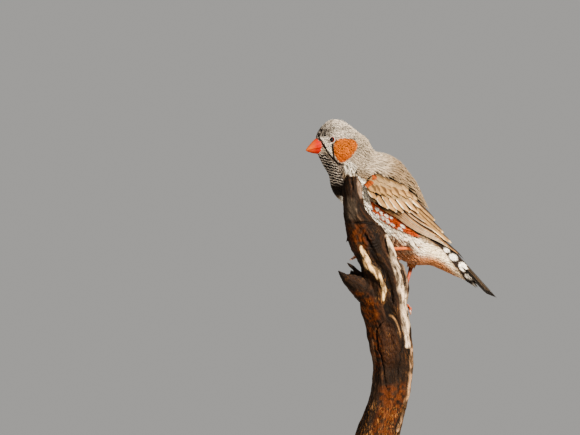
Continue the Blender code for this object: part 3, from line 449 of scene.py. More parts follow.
def plumageColours(places, ragged=0.0, seed=0):
    # the colour at each place of the body, in mm; ragged mm of noise roughens the borders
    x, y, z = places.T
    if ragged:
        x = x + noise(places, 0.9, seed) * ragged
        z = z + noise(places, 0.9, seed + 1) * ragged
    blotch = noise(places, 2.2, 5)[..., None]
    colour = np.broadcast_to(palette["mantle"], places.shape) * (1 + 0.1 * blotch)
    back = smoothStep(10.0, 16.0, x)
    colour = mixed(colour, palette["rump"], back)
    towardsHead = smoothStep(-0.5, -9.5, x) * smoothStep(133.0, 139.0, z + x * 0.1)
    colour = mixed(colour, palette["nape"] * (1 + 0.05 * blotch), towardsHead)
    crown = smoothStep(-16.0, -24.0, x) * smoothStep(149.0, 153.0, z)
    colour = mixed(colour, palette["crown"] * (1 + 0.1 * blotch), crown)
    brow = smoothStep(-28.0, -34.0, x + (z - 158.0) * 0.25) * smoothStep(151.5, 153.5, z)
    colour = mixed(colour, palette["forehead"], brow)
    # dark shaft streaks on the forehead and crown
    streak = smoothStep(0.12, 0.42, noise(places * np.array([1.5, 1.0, 0.45]), 0.9, 9))
    colour = mixed(colour, palette["black"] * 2.0,
        streak * np.maximum(brow, 0.5 * crown) * smoothStep(-22.0, -29.0, x))
    colour = mixed(colour, palette["belly"], insideOf(x, z, marks["belly"], 1.2))
    colour = mixed(colour, palette["white"], insideOf(x, z, marks["flankWhite"], 1.0))
    cream = insideOf(x, z, marks["belly"], 1.0) * smoothStep(8.0, 15.0, x)
    colour = mixed(colour, palette["cream"], cream * 0.8)
    # painted shade: the belly under the leg is darkened where the leg's shadow falls
    colour = mixed(colour, palette["paintedShadeUnderLeg"], 0.85 * insideOf(x, z, marks["paintedShadeUnderLeg"], 1.8))
    # the buff lower belly and vent, deepened to orange-brown by painted warm shade and bounced light
    colour = mixed(colour, palette["buffInPaintedWarmShade"], 0.95 * insideOf(x, z, marks["buffInPaintedWarmShade"], 1.6))
    colour = mixed(colour, palette["pale"] * (1 + 0.25 * blotch), insideOf(x, z, marks["ruffle"], 0.9))
    colour = mixed(colour, palette["throat"], insideOf(x, z, marks["throat"], 0.5))
    colour = mixed(colour, palette["breast"], insideOf(x, z, marks["breast"], 0.6))
    colour = mixed(colour, palette["loreWhite"], insideOf(x, z, marks["lore"], 0.25))
    cheek = mixed(np.broadcast_to(palette["cheek"], places.shape), palette["cheekLow"],
        smoothStep(149.0, 142.0, z))
    colour = mixed(colour, cheek, insideOf(x, z, marks["cheek"], 0.22))
    for name, half in (("billLine", 0.4), ("tear", 0.44)):
        away = toPath(x, z, marks[name])[0]
        colour = mixed(colour, palette["tear"], smoothStep(half + 0.16, half - 0.12, away))
    onFlank = insideOf(x, z, marks["chestnut"], 0.25)
    colour = mixed(colour, palette["chestnut"] * (1 + 0.2 * blotch), onFlank)
    for spot in flankSpots:
        colour = mixed(colour, palette["white"], ovalMask(x, z, spot, 0.16))
    colour = mixed(colour, palette["dark"], insideOf(x, z, marks["tailBlack"], 0.3))
    for spot in tailSpots:
        colour = mixed(colour, palette["white"] * 1.03, ovalMask(x, z, spot, 0.2))
    return np.clip(colour, 0, 1)


# materials of feathers: keratin barbs, matte along the vane with a faint silky sheen

def featherMaterial(name, look):
    # barbs closer than about 0.2 mm wouldn't show at this size, so they are drawn that coarse
    made, tree, shader, place = newMaterial(name, {
        "Roughness": look["roughness"], "Sheen Weight": look["sheen"], "Sheen Roughness": 0.4,
        "Specular IOR Level": 0.05})
    parts = addNode(tree, "SeparateXYZ", {0: addNode(tree, "UVMap", {"uv_map": "featherUV"})})
    aside = addNode(tree, "Math", {"operation": "ABSOLUTE", 0: parts})
    wander = addNode(tree, "TexNoise", {"Scale": 1400, "Detail": 2, "Vector": place})
    slanted = addNode(tree, "Math", {"operation": "MULTIPLY_ADD", 0: aside, 1: -look["slant"],
        2: parts.outputs["Y"]})
    bent = addNode(tree, "Math", {"operation": "MULTIPLY_ADD", 0: wander, 1: look["wander"], 2: slanted})
    turns = addNode(tree, "Math", {"operation": "MULTIPLY", 0: bent, 1: 2 * math.pi / look["spacing"]})
    wave = addNode(tree, "Math", {"operation": "SINE", 0: turns})
    barb = addNode(tree, "MapRange", {0: wave, "From Min": -1, "To Min": 1 - look["contrast"]})
    tint = addNode(tree, "Attribute", {"attribute_name": "plumage"})
    lit = addNode(tree, "MixRGB", {**times, "Color1": tint, "Color2": barb})
    fleck = addNode(tree, "TexNoise", {"Scale": look["fleckScale"], "Detail": 3, "Roughness": 0.6,
        "Vector": place})
    shade = addNode(tree, "MapRange", {0: fleck, "From Min": 0.35, "From Max": 0.65,
        "To Min": 1 - look["fleck"],
                                       "To Max": 1 + look["fleck"] * 0.4})
    coloured = addNode(tree, "MixRGB", {**times, "Color1": lit, "Color2": shade})
    if "bars" in look:
        # the throat's wavy bars, about 1.1 mm apart, run across the bird
        bars = look["bars"]
        at = addNode(tree, "SeparateXYZ", {0: place})
        sway = addNode(tree, "TexNoise", {"Scale": 520, "Detail": 2, "Vector": place})
        height = addNode(tree, "Math", {"operation": "MULTIPLY_ADD", 0: at, 1: bars["tilt"],
            2: at.outputs["Z"]})
        swayed = addNode(tree, "Math", {"operation": "MULTIPLY_ADD", 0: sway, 1: bars["sway"] * mm,
            2: height})
        phase = addNode(tree, "Math", {"operation": "MULTIPLY", 0: swayed,
            1: 2 * math.pi / (bars["spacing"] * mm)})
        band = addNode(tree, "MapRange", {0: addNode(tree, "Math", {"operation": "SINE", 0: phase}),
            "From Min": -0.1,
                                          "From Max": 0.6})
        banded = addNode(tree, "MixRGB", {"Fac": band, "Color1": rgba(bars["dark"]),
            "Color2": rgba(bars["light"])})
        share = addNode(tree, "Attribute", {"attribute_name": "barred"}).outputs["Fac"]
        coloured = addNode(tree, "MixRGB", {"Fac": share, "Color1": coloured, "Color2": banded})
    shaft = addNode(tree, "MapRange", {0: aside, "From Min": look["shaftWidth"],
        "From Max": look["shaftWidth"] * 0.4})
    share = addNode(tree, "Math", {"operation": "MULTIPLY", 0: shaft, 1: look["shaft"]})
    final = addNode(tree, "MixRGB", {"Fac": share, "Color1": coloured, "Color2": rgba(look["shaftColour"])})
    bump = addNode(tree, "Bump", {"Strength": look["bump"], "Distance": 0.0002, "Height": wave})
    fill(tree, shader, {"Base Color": final, "Normal": bump})
    return made


softLook = {"roughness": 0.85, "sheen": 0.02, "slant": 2.2, "wander": 0.5, "spacing": 0.42, "contrast": 0.22,
            "fleck": 0.3, "fleckScale": 900, "shaftWidth": 0.07, "shaft": 0.0, "shaftColour": "#6b5b4c",
            "bump": 0.15}
barredLook = {**softLook, "contrast": 0.12, "bars": {
    "tilt": 0.25, "sway": 1.7, "spacing": 1.12, "dark": "#0e0806", "light": "#a59b90"}}
vaneLook = {"roughness": 0.65, "sheen": 0.02, "slant": 1.6, "wander": 0.15, "spacing": 0.3, "contrast": 0.16,
    "fleck": 0.3,
            "fleckScale": 500, "shaftWidth": 0.1, "shaft": 0.7, "shaftColour": "#3c2512", "bump": 0.2}
tailLook = {**vaneLook, "contrast": 0.12, "shaftColour": "#241811"}

softFeather = featherMaterial("downyContourKeratin", softLook)
barredFeather = featherMaterial("barredContourKeratin", barredLook)
flightFeather = featherMaterial("flightVaneKeratin", vaneLook)
tailFeather = featherMaterial("tailVaneKeratin", tailLook)


def skinMaterial():
    # thin skin under down: only seen deep between feathers, so it keeps their colour, darkened as painted
    # shade for the shade that falls there
    made, tree, shader, place = newMaterial("downCoveredSkin", {"Roughness": 0.9, "Sheen Weight": 0.2})
    tint = addNode(tree, "Attribute", {"attribute_name": "plumage"})
    down = addNode(tree, "TexNoise", {"Scale": 1600, "Detail": 4, "Vector": place})
    shade = addNode(tree, "MapRange", {0: down, "From Min": 0.3, "From Max": 0.7, "To Min": 0.3,
        "To Max": 0.75})
    fill(tree, shader, {"Base Color": addNode(tree, "MixRGB", {**times, "Color1": tint, "Color2": shade}),
                        "Normal": addNode(tree, "Bump",
                        {"Strength": 0.5, "Distance": 0.0002, "Height": down})})
    return made


# one skin for all that is flesh, under the coat

thighs = {
    "left": {"hip": (5.5, -4.5, 107.5), "heel": (6.6, -11.8, 104.4), "radii": (4.6, 1.5)},
    "right": {"hip": (7.0, 5.5, 106.0), "heel": (5.0, 5.6, 96.4), "radii": (5.2, 1.5)},
}


def coatDepth(u):
    return np.interp(u, (0, 2, 5, 8, 11, 15, 18, 20), (0.25, 0.45, 0.7, 1.1, 1.5, 1.4, 0.9, 0.6))


def thighForm(leg):
    # a tapered cone with a round end, as a form like the body's: u runs from 0 at the hip to 1 at the heel
    hip, heel = np.array(leg["hip"]), np.array(leg["heel"])
    axis = unit(heel - hip)
    side = unit(np.cross(axis, np.array([0.3, 0.2, 1.0])))
    other = np.cross(axis, side)

    def form(u, angle, lift=0.0):
        u, angle, lift = np.broadcast_arrays(np.asarray(u, float), angle, lift)
        radius = np.interp(u, (0, 1), leg["radii"]) + lift
        a = np.radians(angle)
        return (hip + (heel - hip) * u[..., None] + side * (radius * np.cos(a))[..., None]
                + other * (radius * np.sin(a))[..., None])
    return form


def skinPart(name, form, last, depth, rows, columns, uvBox, material):
    # a form's surface from its start to u = last, depth(u) deep under the coat, with the unwrap of its
    # shape as map
    part = wrapped(name, rows, columns, lambda share, turn: form(last * share, turn, -depth(last * share)),
        material)
    layer = part.data.uv_layers[0]
    layer.name = "OFBake"
    uv = np.zeros(len(layer.data) * 2, np.float32)
    layer.data.foreach_get("uv", uv)
    uv = uv.reshape(-1, 2) * (uvBox[2] - uvBox[0], uvBox[3] - uvBox[1]) + uvBox[:2]
    layer.data.foreach_set("uv", uv.astype(np.float32).ravel())
    return part


bodyMap = (0.01, 0.01, 0.99, 0.85)
thighMaps = {"left": (0.01, 0.87, 0.45, 0.99), "right": (0.55, 0.87, 0.99, 0.99)}


def makeSkin():
    material = skinMaterial()
    parts = [skinPart("skin", onForm, 20.0, coatDepth, 150, 110, bodyMap, material)]
    for side, leg in thighs.items():
        parts.append(skinPart("thigh", thighForm(leg), 1.0, lambda u: 0.5, 18, 30, thighMaps[side],
            material))
    skin = joined("skin", parts)
    setColours(skin, "plumage", plumageColours(vertexPlaces(skin) / mm))
    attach(skin, "root")
    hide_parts("head", "neck", "torso", "thigh_left", "thigh_right")


makeSkin()
print("skin: one surface from face to tail root, with both thighs")


# feathers: a blade modelled once for each kind, then laid on a form many times and joined

def bladeShape(columns, rows, widths, rounding, jag, seed):
    # a thin closed blade: a grid given a second face, its rim drawn together. Rows of (across, along, face)
    deselectAll()
    bpy.ops.mesh.primitive_grid_add(x_subdivisions=columns - 1, y_subdivisions=rows - 1, size=2,
        location=(0, 0, 1))
    sheet = bpy.context.object
    bpy.ops.object.mode_set(mode="EDIT")
    bpy.ops.mesh.select_all(action="SELECT")
    bpy.ops.mesh.extrude_region_move(TRANSFORM_OT_translate={"value": (0, 0, -2)})
    bpy.ops.object.mode_set(mode="OBJECT")
    bpy.ops.object.transform_apply()
    for vertex in sheet.data.vertices:
        if max(abs(vertex.co.x), abs(vertex.co.y)) > 0.999:
            vertex.co.z = 0
    outward(1.0)
    shape = vertexPlaces(sheet)
    faces = [list(p.vertices) for p in sheet.data.polygons]
    bpy.data.objects.remove(sheet)
    across, along = shape[:, 0].copy(), (shape[:, 1] + 1) / 2
    draw = np.random.default_rng(seed)
    teeth = draw.uniform(-1, 1, columns) * jag
    column = np.rint((across + 1) / 2 * (columns - 1)).astype(int)
    s = along * (1 - rounding * across**2) + teeth[column] * along**4
    t = across * np.interp(along, *zip(*widths))
    quads = np.array([f for f in faces if len(f) == 4])
    threes = np.array([f for f in faces if len(f) == 3]).reshape(-1, 3)
    return {"t": t, "s": s, "face": shape[:, 2], "quads": quads, "threes": threes}


tuftWidths = ((0.0, 0.7), (0.4, 1.0), (0.8, 0.62), (1.0, 0.12))
plumeWidths = ((0.0, 0.35), (0.35, 0.85), (0.7, 1.0), (0.9, 0.85), (1.0, 0.5))
tufts = [bladeShape(3, 4, tuftWidths, 0.1, 0.0, 1)]
plumes = [bladeShape(5, 5, plumeWidths, 0.25, 0.07, seed) for seed in (2, 3, 4)]
contours = [bladeShape(9, 7, plumeWidths, 0.28, 0.09, seed) for seed in (5, 6, 7)]
strands = [bladeShape(5, 9, ((0.0, 0.5), (0.3, 1.0), (0.6, 0.9), (0.85, 0.5), (1.0, 0.08)), 0.12, 0.02,
    seed) for seed in (8, 9)]


def scatter(form, uRange, angleRange, along, across, draw):
    # roots in staggered rows, along and across mm apart
    foundU, foundAngle = [], []
    u, row = uRange[0], 0
    turns = np.arange(angleRange[0], angleRange[1] + 1.0, 2.0)
    while u < uRange[1]:
        line = form(np.full(len(turns), u), turns)
        run = np.concatenate([[0], np.cumsum(np.linalg.norm(np.diff(line, axis=0), axis=1))])
        step = along / np.linalg.norm(form(u + 0.05, turns) - line, axis=1).mean() * 0.05
        count = max(int(run[-1] / across), 1)
        at = (np.arange(count) + 0.5 * (row % 2) + draw.uniform(-0.3, 0.3, count)) * run[-1] / count
        foundAngle.append(np.interp(at, run, turns))
        foundU.append(u + draw.uniform(-0.35, 0.35, count) * step)
        u, row = u + step, row + 1
    return np.concatenate(foundU), np.concatenate(foundAngle)


def coat(name, shapes, form, roots, size, draw, material, uvBox=bodyMap, last=20.0, colours=None, blend=0.5):
    # roots is (u, angle); size gives length, width, turn, and lifts at root, middle and tip
    u, angle = roots
    count = len(u)
    length, width, turn = (np.broadcast_to(size[k], count) * 1.0 for k in ("length", "width", "turn"))
    lifts = [np.broadcast_to(lift, count) for lift in size["lifts"]]
    length *= draw.uniform(0.85, 1.15, count)
    width *= draw.uniform(0.85, 1.15, count)
    turn += draw.normal(0, size.get("unruly", 6.0), count)
    tipLift = lifts[2] + draw.uniform(-0.3, 1.0, count) * size.get("ruffle", 0.15)
    along, across = perMillimetre(form, u, angle, lifts[1], turn)
    kinds = draw.integers(0, len(shapes), count)
    rows, made = [], 0
    for kind, shape in enumerate(shapes):
        mine = np.nonzero(kinds == kind)[0]
        s, t = shape["s"], shape["t"]
        far, wide = s * length[mine, None], t * width[mine, None] / 2
        height = (lifts[0][mine, None] * (1 - s) * (1 - 2 * s) + lifts[1][mine, None] * 4 * s * (1 - s)
                  + tipLift[mine, None] * s * (2 * s - 1))
        height = height - 0.25 * t**2 * width[mine, None] / 2 + shape["face"] * size.get("thickness",
            0.09) / 2
        atU = u[mine, None] + along[mine, None, 0] * far + across[mine, None, 0] * wide
        atAngle = angle[mine, None] + along[mine, None, 1] * far + across[mine, None, 1] * wide
        starts = made + np.arange(len(mine))[:, None, None] * len(s)
        rows.append((form(atU, atAngle, height).reshape(-1, 3), (shape["quads"] + starts).reshape(-1, 4),
                     (shape["threes"] + starts).reshape(-1, 3), np.repeat(mine, len(s)),
                     np.stack([wide, far], -1).reshape(-1, 2)))
        made += len(mine) * len(s)
    points, quads, threes, owner, local = (np.concatenate(part) for part in zip(*rows))
    made = meshObject(name, points, [quads, threes], material)
    if colours is None:
        middle = form(u + along[:, 0] * length * 0.7, angle + along[:, 1] * length * 0.7, lifts[2])
        tints = plumageColours(points * (1 - blend) + middle[owner] * blend, 0.18, 3)
        tone = 1 + draw.normal(0, size.get("tone", 0.07), count)[owner]
        tints = tints * (tone * rootShade(size, local[:, 1] / length[owner], 0.6))[:, None]
    else:
        tints = colours(points, owner, local)
    setColours(made, "plumage", np.clip(tints, 0, 1))
    if material is barredFeather:
        setValues(made, "barred", insideOf(points[:, 0], points[:, 2], marks["throat"], 0.7))
    setUV(made, "featherUV", local)
    place = np.clip(np.stack([u / last, (angle + 180) / 360], -1), 0, 1)
    place = place * (uvBox[2] - uvBox[0], uvBox[3] - uvBox[1]) + uvBox[:2]
    setUV(made, "OFBake", place[owner] + (local / np.stack([width, length], -1)[owner] - (0.0, 0.5)) * 0.003)
    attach(made, "root")


def rootShade(size, far, end):
    # feathers are darker at the root; far is how far along the feather, from 0 to 1
    root = size.get("root", 0.55)
    return root + (1 - root) * smoothStep(0.1, end, far)


eyePlace = {"station": 3.93, "angle": 75.0, "radius": 1.6, "shown": 1.28}


def eyeFrame(side):
    # the point on the head's surface and the outward direction at one eye; side is -1 for the left
    here = onForm(eyePlace["station"], eyePlace["angle"])
    toBack = onForm(eyePlace["station"] + 0.05, eyePlace["angle"]) - here
    toBelly = onForm(eyePlace["station"], eyePlace["angle"] + 1) - here
    out = unit(np.cross(toBelly, toBack))
    out = out * (-1 if out[1] > 0 else 1)
    flip = np.array([1, -side, 1])
    return here * flip, out * flip


def clearOfEyes(u, angle, room):
    places = onForm(u, angle)
    keep = np.ones(len(u), bool)
    for side in (-1, 1):
        keep &= np.linalg.norm(places - eyeFrame(side)[0], axis=1) > room
    return keep


def kept(roots, keep):
    return roots[0][keep], roots[1][keep]


coatSeed = 41
draw = np.random.default_rng(coatSeed)


def makeHeadCoat():
    u, angle = scatter(onForm, (0.25, 4.6), (-180, 180), 0.42, 0.42, draw)
    u, angle = kept((u, angle), clearOfEyes(u, angle, 1.5))
    low = np.abs(angle) > 118
    for name, pick, material in (("faceFeathers", ~low, softFeather), ("chinFeathers", low, barredFeather)):
        mine = (u[pick], angle[pick])
        ruffled = smoothStep(75, 45, np.abs(mine[1])) * smoothStep(1.2, 2.4, mine[0])
        size = {"length": np.interp(mine[0], (1, 3, 4.6), (0.9, 1.3, 1.7)) * (1 + 0.6 * ruffled),
            "width": 0.42, "turn": 0.0, "thickness": 0.06,
                "lifts": (-0.35, 0.02, 0.08), "ruffle": 0.2 + 0.6 * ruffled, "unruly": 9.0 + 8.0 * ruffled,
                "tone": 0.1 + 0.25 * ruffled}
        coat(name, tufts, onForm, mine, size, draw, material, blend=0.1)
    u, angle = scatter(onForm, (4.3, 8.6), (-180, 180), 0.55, 0.48, draw)
    cheekHere = insideOf(*onForm(u, angle)[:, [0, 2]].T, marks["cheek"], 0.2) > 0.5
    low = (np.abs(angle) > np.interp(u, (4, 6, 8.6), (112, 118, 128))) & ~cheekHere
    crown = ~low & ~cheekHere
    size = {"length": np.interp(u[crown], (4.3, 8.6), (2.2, 3.2)), "width": 0.5, "turn": 0.0,
        "thickness": 0.07,
            "lifts": (-0.6, 0.0, 0.12), "ruffle": 0.2 + 0.5 * smoothStep(80, 40, np.abs(angle[crown])),
            "unruly": 9.0,
            "tone": 0.08 + 0.12 * smoothStep(80, 40, np.abs(angle[crown]))}
    coat("crownFeathers", tufts, onForm, (u[crown], angle[crown]), size, draw, softFeather)
    size = {"length": 2.0, "width": 0.42, "turn": 4.0, "thickness": 0.06, "lifts": (-0.5, 0.15, 0.3),
        "ruffle": 0.2,
            "unruly": 8.0, "tone": 0.1}
    roots = scatter(onForm, (4.0, 7.6), (-125, 125), 0.42, 0.34, draw)
    onCheek = insideOf(*onForm(*roots)[:, [0, 2]].T, marks["cheek"], 0.2) > 0.3
    coat("cheekFeathers", tufts, onForm, kept(roots, onCheek & clearOfEyes(*roots, 1.6)), size, draw,
        softFeather, blend=0.3)
    size = {"length": 2.4, "width": 0.85, "turn": 0.0, "thickness": 0.07, "lifts": (-0.6, 0.02, 0.2),
        "ruffle": 0.3,
            "unruly": 9.0, "tone": 0.12}
    coat("throatFeathers", plumes, onForm, (u[low], angle[low]), size, draw, barredFeather)


makeHeadCoat()
print("head coat: face, crown, cheeks and throat")


def contourCoat(name, roots, size, edge, strength, shapes=contours, material=softFeather):
    # a coat of feathers paler towards their rims
    u, angle = roots
    count = len(u)
    size = {k: (np.broadcast_to(v, count) * 1.0 if k in ("length", "width", "turn") else v) for k,
        v in size.items()}
    length, width = size["length"], size["width"]
    along, _ = perMillimetre(onForm, u, angle, 0.0, size["turn"])
    centre = onForm(u + along[:, 0] * length * 0.7, angle + along[:, 1] * length * 0.7, 0.0)
    tone = 1 + draw.normal(0, size.get("tone", 0.08), count)

    def colours(points, owner, local):
        under = plumageColours(points * 0.5 + centre[owner] * 0.5, 0.15, 3)
        wide, far = np.abs(local[:, 0]) / (width[owner] / 2), local[:, 1] / length[owner]
        rim = np.maximum(smoothStep(0.55, 0.95, wide), smoothStep(0.86, 1.0, far)) * smoothStep(0.2, 0.5,
            far)
        under = under * (tone[owner] * rootShade(size, far, 0.65))[:, None]
        return mixed(under, under * (1 - strength) + linear(edge) * strength, rim)
    coat(name, shapes, onForm, roots, size, draw, material, colours=colours)


def onFlank(u, angle):
    places = onForm(u + 0.25, angle)
    return insideOf(places[:, 0], places[:, 2], marks["chestnut"], 0.6) > 0.5


def underWing(u, angle):
    # true where a feather would lie under the folded wing or among the tail's black coverts
    places = onForm(np.concatenate([u, u + 0.35]), np.concatenate([angle, angle]))
    x, z = places[:, 0], places[:, 2]
    hidden = (insideOf(x, z, marks["wingCover"], 0.3) > 0.5) | (insideOf(x, z, marks["tailBlack"],
        0.3) > 0.7)
    return (hidden[:len(u)] | hidden[len(u):]) & (np.abs(angle) > 34)


def makeBodyCoat():
    # back of the neck and mantle: long narrow strands that end in a fringe over the wing
    u, angle = scatter(onForm, (7.8, 13.4), (-84, 84), 0.95, 0.62, draw)
    length = np.interp(u, (8, 9.5, 11, 13.4), (3.6, 6.0, 8.0, 7.4))
    tip = onForm(u + length * 0.8 / 6.4, angle, 2.0)
    fringe = np.interp(tip[:, 0], *np.array(marks["fringe"]).T) + draw.uniform(-1.1, 0.3, len(u))
    above = (tip[:, 2] > fringe) | (tip[:, 0] < -19)
    u, angle, length = u[above], angle[above], length[above]
    size = {
        "length": length, "width": np.interp(u, (8, 10, 13.2), (0.9, 1.25, 1.4)), "turn": -4.0,
        "thickness": 0.1,
        "ruffle": 0.8, "unruly": 5.0, "tone": 0.2,
        "lifts": (np.interp(u, (8, 9.5, 13), (-1.0, -0.6, -0.4)),
        np.interp(u, (8, 9.5, 11, 13), (0.1, 0.9, 1.7, 1.6)),
                  np.interp(u, (8, 9.2, 10.5, 13), (0.3, 1.5, 2.5, 2.3))),
    }
    contourCoat("mantleFeathers", (u, angle), size, "#cdb999", 0.35, strands)
    # sides of the breast and belly
    u, angle = scatter(onForm, (8.2, 15.2), (-180, 180), 1.05, 0.95, draw)
    side = (np.abs(angle) > 70) & ~underWing(u, angle) & ~onFlank(u, angle)
    size = {"length": np.interp(u[side], (8, 12, 15), (3.2, 4.6, 4.8)), "width": 1.3, "turn": 0.0,
        "thickness": 0.08,
            "lifts": (-1.2, 0.0, 0.2), "ruffle": 0.3, "unruly": 8.0, "tone": 0.06, "root": 0.85}
    contourCoat("breastAndBellyFeathers", (u[side], angle[side]), size, "#f3ecdf", 0.25, plumes,
        barredFeather)
    roots = scatter(onForm, (8.2, 15.0), (-150, 150), 0.8, 0.7, draw)
    size = {"length": 2.6, "width": 1.1, "turn": 0.0, "thickness": 0.07, "lifts": (-0.8, 0.2, 0.4),
        "ruffle": 0.15, "unruly": 5.0}
    coat("flankFeathers", plumes, onForm, kept(roots, onFlank(*roots)), size, draw, softFeather, blend=0.0)
    # feathers of the flank that hang over the left heel
    roots = scatter(onForm, (12.0, 14.8), (84, 150), 0.8, 0.7, draw)
    overHeel = ovalMask(*onForm(*roots)[:, [0, 2]].T, (5.4, 107.0, 2.8, 1.8, 30), 0.4) > 0.4
    size = {"length": 4.4, "width": 1.1, "turn": 0.0, "thickness": 0.08, "lifts": (-0.6, 2.6, 4.2),
        "ruffle": 0.3, "unruly": 9.0}
    coat("heelFeathers", strands, onForm, kept(roots, overHeel), size, draw, softFeather)
    # rump, then the long soft coverts under the tail
    roots = scatter(onForm, (12.8, 17.6), (-80, 80), 1.0, 0.95, draw)
    roots = kept(roots, ~underWing(*roots))
    size = {"length": 4.4, "width": 1.8, "turn": 0.0, "thickness": 0.08, "lifts": (-0.9, 0.1, 0.3),
        "ruffle": 0.3, "unruly": 7.0}
    contourCoat("rumpFeathers", roots, size, "#a08c74", 0.3, plumes)
    u, angle = scatter(onForm, (14.6, 18.6), (-180, 180), 0.95, 0.85, draw)
    side = (np.abs(angle) > 76) & ~underWing(u, angle)
    size = {"length": np.interp(u[side], (14.6, 18.6), (5.0, 5.6)), "width": 1.5, "turn": 0.0,
        "thickness": 0.08,
            "lifts": (-0.9, 0.15, 0.2), "ruffle": 0.25, "unruly": 6.0, "tone": 0.06, "root": 0.85}
    contourCoat("ventFeathers", (u[side], angle[side]), size, "#f3e4c8", 0.2, plumes)
    # ruffled pale tufts where the breast is pressed against the branch
    u, angle = scatter(onForm, (5.6, 8.6), (84, 128), 0.7, 0.6, draw)
    inside = insideOf(*onForm(u, angle)[:, [0, 2]].T, marks["ruffle"], 0.4) > 0.4
    size = {"length": 3.6, "width": 0.8, "turn": 10.0, "thickness": 0.08, "lifts": (-0.4, 1.2, 2.6),
        "ruffle": 1.2,
            "unruly": 26.0, "tone": 0.2}
    coat("ruffledBreastFeathers", strands, onForm, (u[inside], angle[inside]), size, draw, softFeather)
    for side, leg in thighs.items():
        form = thighForm(leg)
        roots = scatter(form, (0.1, 0.92), (-180, 180), 0.7, 0.6, draw)
        size = {"length": 2.0, "width": 0.8, "turn": 0.0, "thickness": 0.07, "lifts": (-0.5, 0.1, 0.2),
            "ruffle": 0.3}
        coat(side + "ThighFeathers", plumes, form, roots, size, draw, softFeather, thighMaps[side], 1.0)


makeBodyCoat()
print("body coat: mantle, breast, belly, rump, vent and thighs")


# wings: each vane is set by where its root, middle and tip are seen from the side, in mm

vaneWidths = ((0.0, 0.3), (0.12, 0.75), (0.4, 1.0), (0.8, 0.95), (0.93, 0.78), (1.0, 0.42))
covertWidths = ((0.0, 0.45), (0.3, 0.9), (0.7, 1.0), (0.9, 0.85), (1.0, 0.5))
vaneShapes = {
    "long": bladeShape(11, 30, vaneWidths, 0.045, 0.01, 11),
    "covert": bladeShape(13, 14, covertWidths, 0.2, 0.025, 12),
    "small": bladeShape(9, 9, covertWidths, 0.26, 0.05, 13),
}

wing = {
    "primaries": {
        "shape": "long", "width": 3.1, "roll": -0.12, "lifts": (1.1, 1.4, 1.55, 1.6), "step": 0.05,
        "base": "#7c5a38", "edge": "#fff2d2", "dark": "#0c0603", "seenFrom": 0.5,
        "roots": ((-10.6, 124.4), (-4, 124.6)), "sag": -0.4,
        "tips": ((28.3, 99.8), (27.6, 100.7), (26.5, 101.6), (25.2, 102.7), (23.9, 103.9), (22.7, 105),
                 (21.4, 106.1), (20.2, 107.2)),
    },
    "secondaries": {
        "shape": "long", "width": 3.4, "roll": -0.12, "lifts": (1.2, 1.9, 2.2, 2.35), "step": 0.06,
        "base": "#7c5a38", "edge": "#fff0cc", "dark": "#0c0603", "seenFrom": 0.46,
        "roots": ((-3.4, 124.6), (2.4, 127.6)), "sag": 0.6,
        "tips": ((19.6, 108.2), (19.9, 109.4), (19.6, 110.9), (18.9, 112.3), (18, 113.6)),
    },
    "primaryCoverts": {
        "shape": "covert", "width": 2.5, "roll": -0.1, "lifts": (1, 1.7, 1.95, 2.05), "step": 0.05,
        "base": "#3d2c1b", "edge": "#866a45", "dark": "#0e0804", "seenFrom": -0.2,
        "roots": ((-14.6, 130.2), (-11, 127.6)), "sag": 0.3,
        "tips": ((-9, 124), (-5.9, 122.2), (-2.8, 120.4), (-0.2, 119)),
    },
    "greaterCoverts": {
        "shape": "covert", "width": 3.7, "roll": -0.12, "lifts": (1.1, 2.1, 2.5, 2.55), "step": 0.04,
        "base": "#9a7446", "edge": "#fff0cf", "dark": "#070302", "seenFrom": -0.3,
        "paths": (((-14.2, 131.6), (-12.3, 128.8), (-10.2, 125.8)), ((-12.5, 131.6), (-8.8, 126),
        (-5.2, 121.7)), ((-9.5, 131.2), (-5.4, 125.2), (-1.6, 120)), ((-6.5, 130.8), (-2.3, 124.5),
        (1.3, 119.7)), ((-3.2, 130.4), (1, 124.4), (4.2, 119.8)), ((-0.5, 130.4), (3.8, 124.9),
        (8.2, 119.6)), ((2, 130.6), (6.2, 125.7), (11, 120.6))),
    },
    "medianCoverts": {
        "shape": "covert", "width": 3.3, "roll": -0.1, "lifts": (1, 2.3, 2.8, 2.9), "step": 0.03,
        "base": "#937043", "edge": "#c09a64", "dark": "#4c361f", "seenFrom": -0.2,
        "paths": (((-14.6, 133.6), (-12.6, 131.2), (-10.9, 128.8)), ((-13, 133.8), (-10.6, 131),
        (-8.6, 127.8)), ((-10.6, 133.8), (-8.2, 130.8), (-6, 127.2)), ((-8.2, 133.6), (-5.6, 130.4),
        (-3.2, 126.8)), ((-5.6, 133.4), (-2.8, 130.2), (-0.4, 126.6)), ((-2.8, 133), (0.2, 129.8),
        (2.8, 126.2)), ((0, 132.4), (3, 129.2), (5.8, 125.8))),
    },
}


def spread(group):
    # the group's paths: given, or drawn between the ends of its roots and its tips
    if "paths" in group:
        return [np.array(p) for p in group["paths"]]
    found = []
    for k, tip in enumerate(group["tips"]):
        share = k / (len(group["tips"]) - 1)
        root = np.array(group["roots"][0]) * (1 - share) + np.array(group["roots"][1]) * share
        tip = np.array(tip)
        middle = (root + tip) / 2 - (0, group["sag"] * (1 - share))
        found.append(np.array([root, middle, tip]))
    return found


def asBodyPath(places, lift):
    u, angle = beside(places[:, 0], places[:, 1], lift)
    return np.stack([u, angle], -1)


